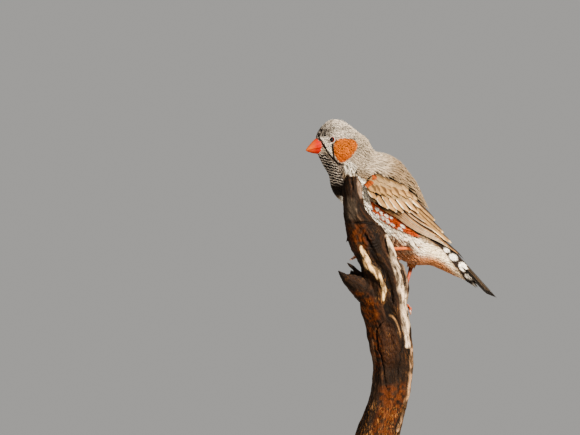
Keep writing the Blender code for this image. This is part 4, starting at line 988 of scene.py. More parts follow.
class Vanes:
    # gathers vanes and joins them into one mesh

    def __init__(self):
        self.rows, self.count = [], 0

    def add(self, shape, points, colours, wide, length):
        s, t = shape["s"], shape["t"]
        tile = np.stack([np.full(len(s), len(self.rows)), (t + 1) / 2, s], -1)
        self.rows.append((points, shape["quads"] + self.count, shape["threes"] + self.count, colours,
                          np.stack([wide, s * length], -1), tile))
        self.count += len(s)

    def lay(self, shape, path, width, lifts, roll, paint, length, camber=0.12, thickness=0.14):
        # on the body, along a curve through the path's three places
        s, t = shape["s"], shape["t"]
        a, b = (1 - s)[:, None], s[:, None]
        bend = 2 * path[1] - (path[0] + path[2]) / 2
        u, angle = (path[0] * a**2 + bend * 2 * a * b + path[2] * b**2).T
        ahead = (bend - path[0]) * 2 * a + (path[2] - bend) * 2 * b
        lift = np.interp(s, np.linspace(0, 1, len(lifts)), lifts)
        perU, perAngle = steps(onForm, u, angle, lift)
        along = unit(perU * ahead[:, :1] + perAngle * ahead[:, 1:])
        sideways = unit(np.cross(np.cross(perU, perAngle), along))
        sideways = sideways * np.sign(dot(sideways, perAngle))[:, None]
        wide = t * width / 2
        off = inSteps(sideways, perU, perAngle) * wide[:, None]
        height = lift - roll * t * width / 2 - camber * t**2 * width / 2 + shape["face"] * thickness / 2
        self.add(shape, onForm(u + off[:, 0], angle + off[:, 1], height), paint(s, t), wide, length)

    def join(self, name, material, mirrored=False):
        points, quads, threes, colours, local, tiles = (np.concatenate(part) for part in zip(*self.rows))
        if mirrored:
            points, quads, threes = points * (1, -1, 1), quads[:, ::-1], threes[:, ::-1]
        made = meshObject(name, points, [quads, threes], material)
        setColours(made, "plumage", np.clip(colours, 0, 1))
        setUV(made, "featherUV", local)
        across = math.ceil(math.sqrt(len(self.rows)))
        corner = np.stack([tiles[:, 0] % across, tiles[:, 0] // across], -1)
        setUV(made, "OFBake", (corner + 0.05 + 0.9 * tiles[:, 1:]) / across)
        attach(made, "root")
        return made


def vanePainter(group, tone):
    # pale along the outer edge and round the tip, dark where the next vane's shadow falls
    base, edge, dark = (linear(group[k]) for k in ("base", "edge", "dark"))

    def paint(s, t):
        seen = (t - group["seenFrom"]) / (1 - group["seenFrom"])
        colour = mixed(np.broadcast_to(dark, (len(s), 3)), base * tone, smoothStep(0.0, 0.22, seen))
        rim = np.maximum(smoothStep(0.7, 0.84, seen),
            smoothStep(0.93, 0.99, s) * smoothStep(-0.2, 0.3, seen))
        return mixed(colour, edge, rim * smoothStep(0.05, 0.3, s))
    return paint


def scapularBand(vanes, draw):
    # broad soft feathers between the mantle's slit and the wing's coverts
    for row, (start, end, count) in enumerate((
        ((-11.6, 131.8), (9.6, 122.2), 8), ((-13.0, 133.6), (8.6, 124.0), 8),
        ((-13.6, 135.6), (5.6, 127.6), 7),
        ((-12.6, 137.0), (1.0, 132.0), 5),
    )):
        for k in range(count):
            share = (k + 0.3 * (row % 2)) / count
            root = np.array(start) * (1 - share) + np.array(end) * share + draw.uniform(-0.4, 0.4, 2)
            tip = root + np.array((4.3, -3.6)) + draw.uniform(-0.3, 0.3, 2)
            path = asBodyPath(np.array([root, (root + tip) / 2, tip]), 2.2)
            shade = 1 + draw.normal(0, 0.04)
            look = {"base": "#8e7450", "edge": "#b3966c", "dark": "#4f3b22", "seenFrom": -0.4}
            lift = 2.15 + 0.1 * row
            vanes.lay(vaneShapes["small"], path, 4.2, (1.3, lift, lift + 0.25, lift + 0.3), 0.05,
                vanePainter(look, shade), 5.6, 0.3)


def lesserCoverts(vanes, draw):
    for row in range(5):
        for k in range(7 - row):
            root = np.array((-15.6 + 1.75 * k + 0.8 * row,
                132.6 + 0.95 * row - 0.28 * k)) + draw.uniform(-0.2, 0.2, 2)
            tip = root + (2.0, -1.9)
            path = asBodyPath(np.array([root, (root + tip) / 2, tip]), 2.0)
            look = {"base": "#8d6f45", "edge": "#cfad7c", "dark": "#402d18", "seenFrom": -0.6}
            if k == 0:
                look = {"base": "#94400c", "edge": "#f3e9da" if row in (0, 3) else "#a0521c",
                    "dark": "#3a1604", "seenFrom": -0.6}
            vanes.lay(vaneShapes["small"], path, 2.3, (1.2, 2.0, 2.4, 2.45), 0.1,
                vanePainter(look, 1 + draw.normal(0, 0.06)), 2.9, 0.3)


def makeWing(side, node, seed):
    draw = np.random.default_rng(seed)
    vanes = Vanes()
    for kind in ("primaries", "secondaries", "primaryCoverts", "greaterCoverts", "medianCoverts"):
        group = wing[kind]
        for k, places in enumerate(spread(group)):
            lifts = np.array(group["lifts"]) + group["step"] * k + draw.uniform(-0.03, 0.03)
            places = places + draw.uniform(-0.12, 0.12, (3, 2)) * (side > 0)
            length = np.linalg.norm(np.diff(places, axis=0), axis=1).sum()
            paint = vanePainter(group, 1 + draw.normal(0, 0.05))
            vanes.lay(vaneShapes[group["shape"]], asBodyPath(places, lifts[2]), group["width"], lifts,
                group["roll"], paint, length)
    for k, (root, tip) in enumerate((((11.2, 67), (17.1, 25)), ((11.4, 64), (16.0, 22)),
        ((11.6, 60), (14.8, 20)))):
        root, tip = np.array(root, float), np.array(tip, float)
        look = {"base": "#7f6038", "edge": "#efd5a8", "dark": "#23160b", "seenFrom": -0.2}
        lifts = np.array((1.3, 2.3, 2.7, 3.0)) + 0.1 * k
        vanes.lay(vaneShapes["long"], np.array([root, (root + tip) / 2, tip]), 4.4, lifts, 0.1,
            vanePainter(look, 1), 17, 0.2)
    lesserCoverts(vanes, draw)
    scapularBand(vanes, draw)
    made = vanes.join("wingLeftFeathers" if side < 0 else "wingRightFeathers", flightFeather, side > 0)
    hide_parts(node)


makeWing(-1, "wing_left", 71)
makeWing(1, "wing_right", 72)
print("wings: primaries to scapulars, both sides")


# tail: twelve rectrices stacked like a closed fan, and the black and white coverts at its sides

tail = {
    "root": (23.4, 0.0, 103.2), "tip": (42.2, 0.0, 82.4), "pairs": 6, "halfWidth": 2.1, "shorter": 0.7,
    "drop": 0.34,
    "top": "#0d0906", "edge": "#66533f", "dark": "#060403",
}


def makeTail():
    root, tip = np.array(tail["root"]), np.array(tail["tip"])
    ahead = unit(tip - root)
    normal = np.array([-ahead[2], 0, ahead[0]])
    shape = vaneShapes["long"]
    s, t = shape["s"], shape["t"]
    top, edge, dark = (linear(tail[k]) for k in ("top", "edge", "dark"))
    vanes = Vanes()
    for pair, side in [(p, side) for p in reversed(range(tail["pairs"])) for side in (-1, 1)]:
        length = np.linalg.norm(tip - root) - tail["shorter"] * pair
        wide = t * tail["halfWidth"] * (0.8 + 0.2 * s)
        roll = math.radians(7 + 1.5 * pair) * side
        drop = -tail["drop"] * pair - np.abs(wide) * 0.06 - wide * math.sin(roll)
        places = root + ahead * (s * length)[:, None] + normal * (drop + 0.3 + shape["face"] * 0.08)[:, None]
        places[:, 1] += wide * math.cos(roll) + side * (1.05 + 0.6 * pair) * (0.75 + 0.4 * s)
        outer = t * side
        colour = np.broadcast_to(top * (0.9 + 0.05 * (pair % 2)), (len(s), 3))
        colour = mixed(colour, dark, smoothStep(0.5, -0.1, outer) * (pair > 0))
        colour = mixed(colour, edge, smoothStep(0.8, 0.9, outer) * 0.8 * (pair < 3))
        vanes.add(shape, places, colour, wide, length)
    made = vanes.join("tailFeathers", tailFeather)
    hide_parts("tail")
    roots = scatter(onForm, (13.6, 19.6), (-150, 150), 1.3, 1.1, draw)
    ahead = onForm(roots[0] + 0.6, roots[1])
    black = insideOf(ahead[:, 0], ahead[:, 2], marks["tailBlack"], 0.6) > 0.3
    size = {"length": 4.6, "width": 2.6, "turn": 0.0, "thickness": 0.1, "lifts": (-0.6, 0.35, 0.5),
        "ruffle": 0.1, "unruly": 3.0, "tone": 0.02}
    coat("tailCoverts", contours, onForm, kept(roots, black), size, draw, tailFeather, blend=0.0)


makeTail()
print("tail: rectrices and barred coverts")


# bill: two horn sheaths. Culmen x, z, cutting edge x, z, chin x, z, half width

billStations = np.array([
    (-34.5, 154, -32.1, 149.2, -31.5, 145.6, 3.3), (-36, 153.4, -33.7, 148.8, -32.8, 145.8, 3.25),
    (-38.1, 151.8, -36.1, 148.3, -35.3, 145.8, 2.65), (-39.8, 149.9, -38.6, 147.9, -38.2, 146.1, 1.85),
    (-41, 148.4, -40.3, 147.6, -40, 146.6, 0.95), (-41.5, 147.4, -41.3, 147.3, -41, 147, 0.22),
])


def billSurface(lower):
    def place(share, turn):
        row = rowAt(billStations, np.clip(share * 1.06 - 0.03, 0, 1) * 5)
        culmen, cut, chin, width = row[:, 0:2], row[:, 2:4], row[:, 4:6], row[:, 6]
        ring = np.clip(share / 0.03, 0, 1) * np.clip((1 - share) / 0.03, 0, 1)
        a = np.radians(90 - np.clip(np.abs(turn), 0, 90))
        if lower:
            cut = cut + np.array([0, 0.05])
            height = (chin - cut) * (np.sin(a) ** 0.75)[:, None]
            width = width * 0.93
        else:
            height = (culmen - cut) * (np.sin(a) ** 0.9)[:, None]
        y = width * np.cos(a) * np.sign(turn)
        inside = np.abs(turn) > 90
        v = np.clip((180 - np.abs(turn)) / 90, 0, 1)
        y = np.where(inside, width * v * np.sign(turn), y)
        hollow = 0.3 * (1 - v**2)[:, None] * (culmen - cut if not lower else chin - cut) * 0.6
        flatPlace = np.where(inside[:, None], cut + hollow, cut + height)
        middle = (cut + (culmen if not lower else chin)) / 2
        flatPlace = middle + (flatPlace - middle) * ring[:, None]
        return np.stack([flatPlace[:, 0], y * ring, flatPlace[:, 1]], -1)
    return place


def hornMaterial(name, base, tip, pale):
    # horn sheath: waxy keratin, IOR about 1.54, roughness about 0.25, growth lines 0.25 mm apart and fine
    # scratches
    made, tree, shader, place = newMaterial(name,
        {"Roughness": 0.26, "IOR": 1.54, "Specular IOR Level": 0.04})
    at = addNode(tree, "SeparateXYZ", {0: place})
    ahead = addNode(tree, "MapRange", {0: at, "From Min": -0.0365, "From Max": -0.0412})
    mixTip = addNode(tree, "MixRGB", {"Fac": ahead, "Color1": rgba(base), "Color2": rgba(tip)})
    cloud = addNode(tree, "TexNoise", {"Scale": 700, "Detail": 4, "Vector": place})
    shade = addNode(tree, "MapRange", {0: cloud, "From Min": 0.3, "From Max": 0.7, "To Min": 0.8,
        "To Max": 1.08})
    shaded = addNode(tree, "MixRGB", {**times, "Color1": mixTip, "Color2": shade})
    # painted highlight: a paler band along the top of the culmen, where the light catches the ridge
    aside = addNode(tree, "Math", {"operation": "ABSOLUTE", 0: at.outputs["Y"]})
    ridge = addNode(tree, "MapRange", {0: aside, "From Min": 0.0014, "From Max": 0.0004, "To Max": 0.5})
    high = addNode(tree, "MapRange", {0: at.outputs["Z"], "From Min": 0.1488, "From Max": 0.1515})
    share = addNode(tree, "Math", {"operation": "MULTIPLY", 0: ridge, 1: high})
    growth = addNode(tree, "Math", {"operation": "MULTIPLY", 0: at, 1: 2 * math.pi / (0.25 * mm)})
    lines = addNode(tree, "Math", {"operation": "SINE", 0: growth})
    scratch = addNode(tree, "TexNoise", {"Scale": 2500, "Detail": 2, "Vector": place})
    both = addNode(tree, "Math", {"operation": "MULTIPLY_ADD", 0: lines, 1: 0.12, 2: scratch})
    fill(tree, shader,
        {"Base Color": addNode(tree, "MixRGB", {"Fac": share, "Color1": shaded, "Color2": rgba(pale)}),
                        "Normal": addNode(tree, "Bump",
                        {"Strength": 0.06, "Distance": 0.0001, "Height": both})})
    return made


def makeBill():
    # the last colour of each horn is the painted highlight on the culmen
    horn = hornMaterial("orangeRedHorn", "#a01400", "#cc6000", "#e05a10")
    # the lower sheath has its own, darker copy of the horn: painted shade on the underside of the bill
    shadedLowerHorn = hornMaterial("orangeRedHornInPaintedShade", "#860e00", "#a83c00", "#e05a10")
    upper = wrapped("billUpper", 61, 72, billSurface(False), horn)
    # nostrils: shallow pits near the feathers
    places = vertexPlaces(upper) / mm
    for side in (-1, 1):
        away = np.linalg.norm((places - np.array([-35.6, side * 2.35, 151.9])) * (1.0, 0.6, 1.15), axis=1)
        places[:, 1] -= side * 0.45 * np.exp(-(away / 0.42) ** 2)
    setPlaces(upper, places)
    lower = wrapped("billLower", 49, 64, billSurface(True), shadedLowerHorn)
    for piece, node in ((upper, "bill_upper"), (lower, "bill_lower")):
        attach(piece, "root")
        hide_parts(node)


makeBill()
print("bill: both sheaths with ridge, nostrils and cutting edge")


# eyes: a dark red-brown iris round a black pupil, under a clear wet cornea

def makeEyes():
    # cornea and iris: tear film over a clear lens, IOR 1.38, almost no roughness
    wet, tree, shader, place = newMaterial("wetCornea", {"Roughness": 0.06, "IOR": 1.38})
    ramp = addNode(tree, "ValToRGB",
        {0: addNode(tree, "Attribute", {"attribute_name": "iris"}).outputs["Fac"]})
    stops = ((0.0, "#030102"), (0.52, "#030102"), (0.57, "#2a0504"), (0.72, "#5a0c06"), (0.84, "#200403"),
        (1.0, "#080202"))
    for k, (at, colour) in enumerate(stops):
        stop = ramp.color_ramp.elements[k] if k < 2 else ramp.color_ramp.elements.new(at)
        stop.position, stop.color = at, rgba(colour)
    threads = addNode(tree, "TexNoise", {"Scale": 3000, "Detail": 3, "Vector": place})
    shade = addNode(tree, "MapRange", {0: threads, "To Min": 0.6, "To Max": 1.3})
    fill(tree, shader, {"Base Color": addNode(tree, "MixRGB", {**times, "Color1": ramp, "Color2": shade})})
    # bare ring of fine-wrinkled skin round the lids, pinkish grey, dull
    lidSkin, tree, shader, place = newMaterial("bareEyeRingSkin", {
        "Roughness": 0.6, "Subsurface Weight": 0.1, "Subsurface Radius": (0.001, 0.0005, 0.0004)})
    grain = addNode(tree, "TexVoronoi", {"Scale": 5500, "Vector": place})
    tint = addNode(tree, "MixRGB", {"Fac": grain, "Color1": rgba("#8f7f78"), "Color2": rgba("#d8cfc4")})
    fill(tree, shader, {"Base Color": tint,
                        "Normal": addNode(tree, "Bump",
                        {"Strength": 0.4, "Distance": 0.00005, "Height": grain})})
    for side, node in ((-1, "eye_left"), (1, "eye_right")):
        here, out = eyeFrame(side)
        radius, shown = eyePlace["radius"], eyePlace["shown"]
        centre = here - out * math.sqrt(radius**2 - shown**2)
        deselectAll()
        bpy.ops.mesh.primitive_uv_sphere_add(segments=48, ring_count=32, radius=radius * mm,
            location=centre * mm,
                                             rotation=Vector(out).to_track_quat("Z", "Y").to_euler())
        ball = bpy.context.object
        bpy.ops.object.transform_apply(location=True, rotation=True, scale=True)
        ball.name = "eyeballLeft" if side < 0 else "eyeballRight"
        ball.data.materials.append(wet)
        ball.data.shade_smooth()
        away = unit(vertexPlaces(ball) / mm - centre)
        setValues(ball, "iris", np.degrees(np.arccos(np.clip(away @ out, -1, 1))) / 60)
        across = unit(np.cross(out, (0, 0, 1)))
        up = np.cross(out, across)

        def lid(share, turn, here=here, out=out, across=across, up=up):
            a, b = np.radians(turn), share * 2 * math.pi
            crinkle = 1 + 0.07 * np.sin(a * 14 + 1)
            ring = 1.4 + 0.13 * np.cos(b) * crinkle
            return (here + out * 0.02 + across * (ring * np.cos(a))[:,
                None] + up * (ring * 0.96 * np.sin(a))[:, None]
                    + out * (0.13 * np.sin(b) * crinkle)[:, None])
        lidRing = torus("eyeRingLeft" if side < 0 else "eyeRingRight", lid, 56, 12, lidSkin)
        for piece, slot in ((ball, "eye"), (lidRing, "eye")):
            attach(piece, "root")
        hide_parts(node)


def torus(name, place, around, across, material):
    # a ring from bpy.ops, put on its own surface by place(share across, turn around)
    deselectAll()
    bpy.ops.mesh.primitive_torus_add(major_segments=around, minor_segments=across, major_radius=0.01,
        minor_radius=0.003)
    made = bpy.context.object
    made.name = name
    flat = np.array([v.co for v in made.data.vertices])
    turn = np.degrees(np.arctan2(flat[:, 1], flat[:, 0]))
    share = (np.arctan2(flat[:, 2], np.hypot(flat[:, 0], flat[:, 1]) - 0.01) / (2 * math.pi)) % 1.0
    setPlaces(made, place(share, turn))
    outward(0.002)
    made.data.materials.append(material)
    made.data.shade_smooth()
    return made


makeEyes()
print("eyes: balls and bare rings")


# branch: dead, barkless wood. Height z, middle x, y, half widths across and in depth, in mm

trunkStations = np.array([
    (20, -11, -4, 9.7, 8.8), (28.8, -8.4, -4, 9.2, 8.4), (36.7, -5.6, -4, 8.7, 8),
    (44.2, -4.1, -4, 8.5, 7.8), (53, -3.3, -4.4, 8.4, 7.8), (61.8, -4.4, -5.4, 9.2, 8.2),
    (70.6, -5.6, -6.4, 9.6, 8.4), (78.1, -7.2, -7.8, 10, 8.6), (86, -7.5, -9.3, 9.9, 8.2),
    (93.9, -7.9, -11.5, 8.8, 7.4), (100.1, -10.6, -13.3, 8.4, 6.9), (105.8, -13, -14.8, 8.8, 6.6),
    (111.5, -14.7, -15.8, 8.5, 6), (115.9, -17.3, -15.8, 6.7, 5.2), (121.2, -19.9, -15.4, 5, 4.4),
    (126.9, -20.8, -15.2, 4.3, 3.8), (132.2, -21, -14.8, 4, 3.4), (136, -21.4, -14.4, 2.4, 2),
])

branch = {
    "voxel": 0.33,
    "fibre": 0.26,
    "lumps": 0.45,
    "strands": (
        {"path": ((-4.6, -15, 99), (-0.6, -14.4, 97), (1.9, -12.6, 91.5), (2.3, -11.4, 86),
            (0.3, -10.2, 79)), "radii": (1.6, 1.3, 1.3, 1.5, 2.2)},
        {"path": ((-17.6, -17.6, 107), (-15.6, -17.6, 101), (-13.6, -17.6, 96.5), (-10.4, -17.2, 93.4),
            (-7.8, -16.4, 89.6), (-7, -14.6, 85), (-7.6, -12.4, 79)),
            "radii": (1.2, 1.9, 2.3, 2.4, 2.4, 2.4, 1.8)},
        {"path": ((-6.2, -19.2, 109.4), (-4.4, -18.6, 103.5), (-2.6, -17.2, 98.6), (-0.8, -15.8, 93.6),
            (0.2, -14, 87.6), (0.8, -12.4, 82)), "radii": (1.3, 1.9, 1.9, 1.8, 1.8, 1.5)},
        {"path": ((-21.5, -15, 112), (-23, -15.1, 108.9), (-23.9, -15.2, 107)), "radii": (1.2, 0.6, 0.2)},
        {"path": ((-22.4, -14.6, 131.5), (-22.8, -14.4, 134.8), (-23.1, -14.2, 137)),
            "radii": (1.7, 1.1, 0.25)},
        {"path": ((-19.6, -14.8, 130.5), (-19.2, -14.6, 133.8), (-18.9, -14.4, 136.4)),
            "radii": (1.8, 1.1, 0.25)},
    ),
    "stub": {
        "path": ((-9, -9.6, 80.5), (-13, -10.6, 84.4), (-17.4, -11.3, 87.9), (-20.4, -11.8, 90.6),
        (-22, -12, 92.2)), "radii": (6.4, 6, 5.2, 4.6, 4.4), "peaks": ((-180, 0.6), (-140, 1.6),
        (-110, 0.4), (-88, -0.4), (-60, 2.7), (-28, 6.4), (-6, 2.6), (8, 1.6), (30, -1.6), (52, -3.4),
        (70, 1.2), (86, 5.6), (100, 2), (118, -2.2), (150, 1), (180, 0.6)),
    },
}


def trunkPoint(z, angle, lift=0.0):
    # a point of the trunk's grooved side; angle 0 is +X, 90 the far side from the camera
    z, angle, lift = np.broadcast_arrays(np.asarray(z, float), angle, lift)
    heights = trunkStations[:, 0]
    share = np.interp(z, heights, np.arange(len(heights)))
    for _ in range(6):
        row = rowAt(trunkStations, share)
        share = np.clip(share - (row[..., 0] - z) / 7.0, 0, len(heights) - 1)
    row = rowAt(trunkStations, share)
    a = np.radians(angle)
    fade = np.minimum(1.0, (138.0 - z) / 20.0)
    swell = 1 + (0.055 * np.sin(3 * a + z * 0.045) + 0.04 * np.sin(7 * a - z * 0.07 + 1.0)) * fade
    flat = 1.0 - 0.1 * np.maximum(0.0, np.sin(a)) ** 4
    return np.stack([row[..., 1] + (row[..., 3] * swell + lift) * np.cos(a),
                     row[..., 2] + (row[..., 4] * swell * flat + lift) * np.sin(a), z], -1)


def alongPath(path, share):
    return rowAt(np.asarray(path, float), np.asarray(share) * (len(path) - 1))


def rodPlace(path, radii):
    # place function of a bent rod with a radius for each of its places
    path = np.asarray(path, float)
    radii = np.asarray(radii, float)[:, None]

    def place(share, turn):
        middle = alongPath(path, share)
        ahead = unit(alongPath(path, np.minimum(share + 0.01, 1)) - alongPath(path,
            np.maximum(share - 0.01, 0)))
        side = unit(np.cross(ahead,
            np.array([0.31, 0.11, 0.94]) if abs(path[-1, 2] - path[0, 2]) < 6 else np.array([0.2, -0.95,
            0.1])))
        other = np.cross(ahead, side)
        ring = np.clip(share / 0.02, 0, 1) * np.clip((1 - share) / 0.02, 0, 1)
        radius = alongPath(radii, share)[:, 0] * np.sqrt(ring)
        a = np.radians(turn)
        return middle + side * (radius * np.cos(a))[:, None] + other * (radius * np.sin(a))[:, None]
    return place


def stubPlace(share, turn):
    # the broken side stem: out along its bark, over a jagged rim, and back down into the rotted hollow
    stub = branch["stub"]
    path = np.array(stub["path"])
    ahead = unit(path[-1] - path[1])
    side = unit(np.array([0.0, -1.0, 0.0]) - ahead * (-ahead[1]))
    up = np.cross(side, ahead)
    up = up * (1 if up[2] > 0 else -1)
    outward = share < 0.6
    reach = np.where(outward, share / 0.6, 1 - (share - 0.6) / 0.4 * 0.55)
    middle = alongPath(path, reach)
    radius = alongPath(np.array(stub["radii"])[:, None], reach)[:, 0]
    radius = np.where(outward, radius, radius * np.interp(share, (0.6, 0.66, 0.85, 1.0),
        (1.0, 0.72, 0.55, 0.0)))
    radius = radius * np.clip(share / 0.02, 0, 1)
    peak = np.interp(turn, *zip(*stub["peaks"])) + 0.5 * noise(np.stack([turn / 9, share * 0, share * 0],
        -1), 1.0, 4)
    near = np.interp(share, (0.0, 0.42, 0.6, 0.66, 0.8), (0.0, 0.12, 1.0, 0.8, 0.0))
    thin = 1 - 0.25 * np.interp(share, (0.5, 0.6, 0.66), (0, 1, 0)) * np.clip(peak / 6, 0, 1)
    a = np.radians(turn)
    return (middle + ahead * (peak * near)[:, None]
            + (side * np.cos(a)[:, None] + up * np.sin(a)[:, None]) * (radius * thin)[:, None])


# colours of the wood by place in the side view: (x, z) paths with half width and colour, then patches
woodMarks = {
    "pale": (
        {"path": ((-17.3, 104.9), (-15.7, 101.3), (-14.1, 96.6), (-10.6, 93.9), (-7.9, 90.3), (-7.1, 86),
            (-7.9, 82)), "half": 1.2, "colour": "#efc78a", "strength": 1},
        {"path": ((-6, 109.6), (-4.2, 103.7), (-2.6, 99.4), (-0.6, 93.9), (0.2, 88), (1.5, 84), (1.6, 79.9),
            (2.4, 73.8), (2.6, 67.7), (3.2, 61.5)), "half": 1.6, "colour": "#d8c0a2", "strength": 0.95},
        {"path": ((3.6, 66), (4.8, 60.5), (5, 55), (4.6, 47), (3.4, 40), (1.6, 33), (-1, 24)), "half": 0.8,
            "colour": "#a07c5a", "strength": 0.75},
        {"path": ((-2.6, 100.5), (0.6, 97.6), (2.4, 93.2), (3, 89), (2.6, 85)), "half": 0.7,
            "colour": "#7c6653", "strength": 0.85},
        {"path": ((-12.2, 64), (-11.4, 52), (-11.6, 42), (-13, 34)), "half": 0.9, "colour": "#5c4431",
            "strength": 0.6},
        {"path": ((-20.2, 122.1), (-18.7, 119), (-17.4, 116.6)), "half": 0.5, "colour": "#6e5b48",
            "strength": 0.7},
        {"path": ((-18.6, 135), (-17.8, 131), (-17.4, 126.6)), "half": 1, "colour": "#75604f",
            "strength": 0.8},
    ),
    "grey": (((-23.6, 127), (-20.4, 126), (-19, 121), (-19.6, 117), (-23.4, 117), (-24.8, 121)),),
    "rust": (
        ((-23.4, 114.4), (-15.6, 114.6), (-13.6, 108), (-16.6, 102.4), (-20.6, 103.4), (-22.6, 109)),
        ((-23, 86.4), (-15.4, 84.8), (-9.6, 80.4), (-9.2, 72.6), (-13.6, 68), (-15.6, 74), (-17.6, 81)),
        ((-13.6, 68), (-9.8, 69), (-7.6, 56), (-10.4, 50), (-12.6, 55)),
        ((-8.6, 43.3), (2, 45), (2, 38), (-1, 30), (-5, 18), (-15, 18), (-9.4, 34)),
    ),
    # furrows, pressed into the wood and painted near black as painted shade deep in them
    "black": (
        {"path": ((-15.6, 110.6), (-12.9, 104), (-10.8, 99), (-7, 93.6), (-4.6, 86), (-3.4, 80.4)),
            "half": 1.3, "deep": 0.9},
        {"path": ((-1.8, 101), (-0.2, 97.4), (1.5, 92), (2.1, 87.4)), "half": 0.7, "deep": 0.7},
        {"path": ((3, 38.6), (1.6, 33.5), (-0.4, 29), (-2.8, 21.6)), "half": 0.8, "deep": 1.1},
        {"path": ((-21.6, 115.2), (-18.6, 115.6), (-15.6, 115.9), (-11.9, 115.4), (-8.6, 114.3)),
            "half": 0.5, "deep": 0.7},
        {"path": ((-21.9, 136.8), (-21.3, 133.6), (-21, 129.6)), "half": 0.5, "deep": 0.7},
        {"path": ((-6.6, 72.6), (-8.6, 71.4), (-10.4, 68.6), (-10.6, 66), (-9.6, 60), (-7.9, 55.4),
            (-7.3, 50), (-6.6, 45.4), (-5.6, 42.6)), "half": 0.36, "deep": 0.75},
        {"path": ((1.6, 67.8), (1.2, 62.4), (-0.2, 57), (-1.2, 51), (-1, 45)), "half": 0.3, "deep": 0.45},
        {"path": ((-14.6, 58), (-14.2, 50), (-14.8, 42)), "half": 0.25, "deep": 0.3},
    ),
    "whorl": (-12.6, 109.8, 5.6),
    "knot": (-5.3, 61.8, 5.6, 13.6),
}


def grainOf(points):
    # places along the fibres: the trunk's own middle is taken out and its length is pressed together
    share = np.interp(points[:, 2], trunkStations[:, 0], np.arange(len(trunkStations)))
    middle = rowAt(trunkStations, share)[:, 1:3]
    off = points[:, :2] - middle
    turn = points[:, 2] * 0.02
    grain = np.stack([off[:, 0] * np.cos(turn) - off[:, 1] * np.sin(turn),
        off[:, 0] * np.sin(turn) + off[:, 1] * np.cos(turn),
                      points[:, 2] * 0.13], -1)
    stub = np.array(branch["stub"]["path"])
    ahead = unit(stub[-1] - stub[1])
    off = points - stub[1]
    along = off @ ahead
    across = off - along[:, None] * ahead
    onStub = smoothStep(1.0, 4.0, along) * smoothStep(9.5, 7.0, np.linalg.norm(across, axis=1))
    onStub = onStub * smoothStep(-12.5, -15.0, points[:, 0])
    return mixed(grain, across + along[:, None] * ahead * 0.13, onStub), onStub


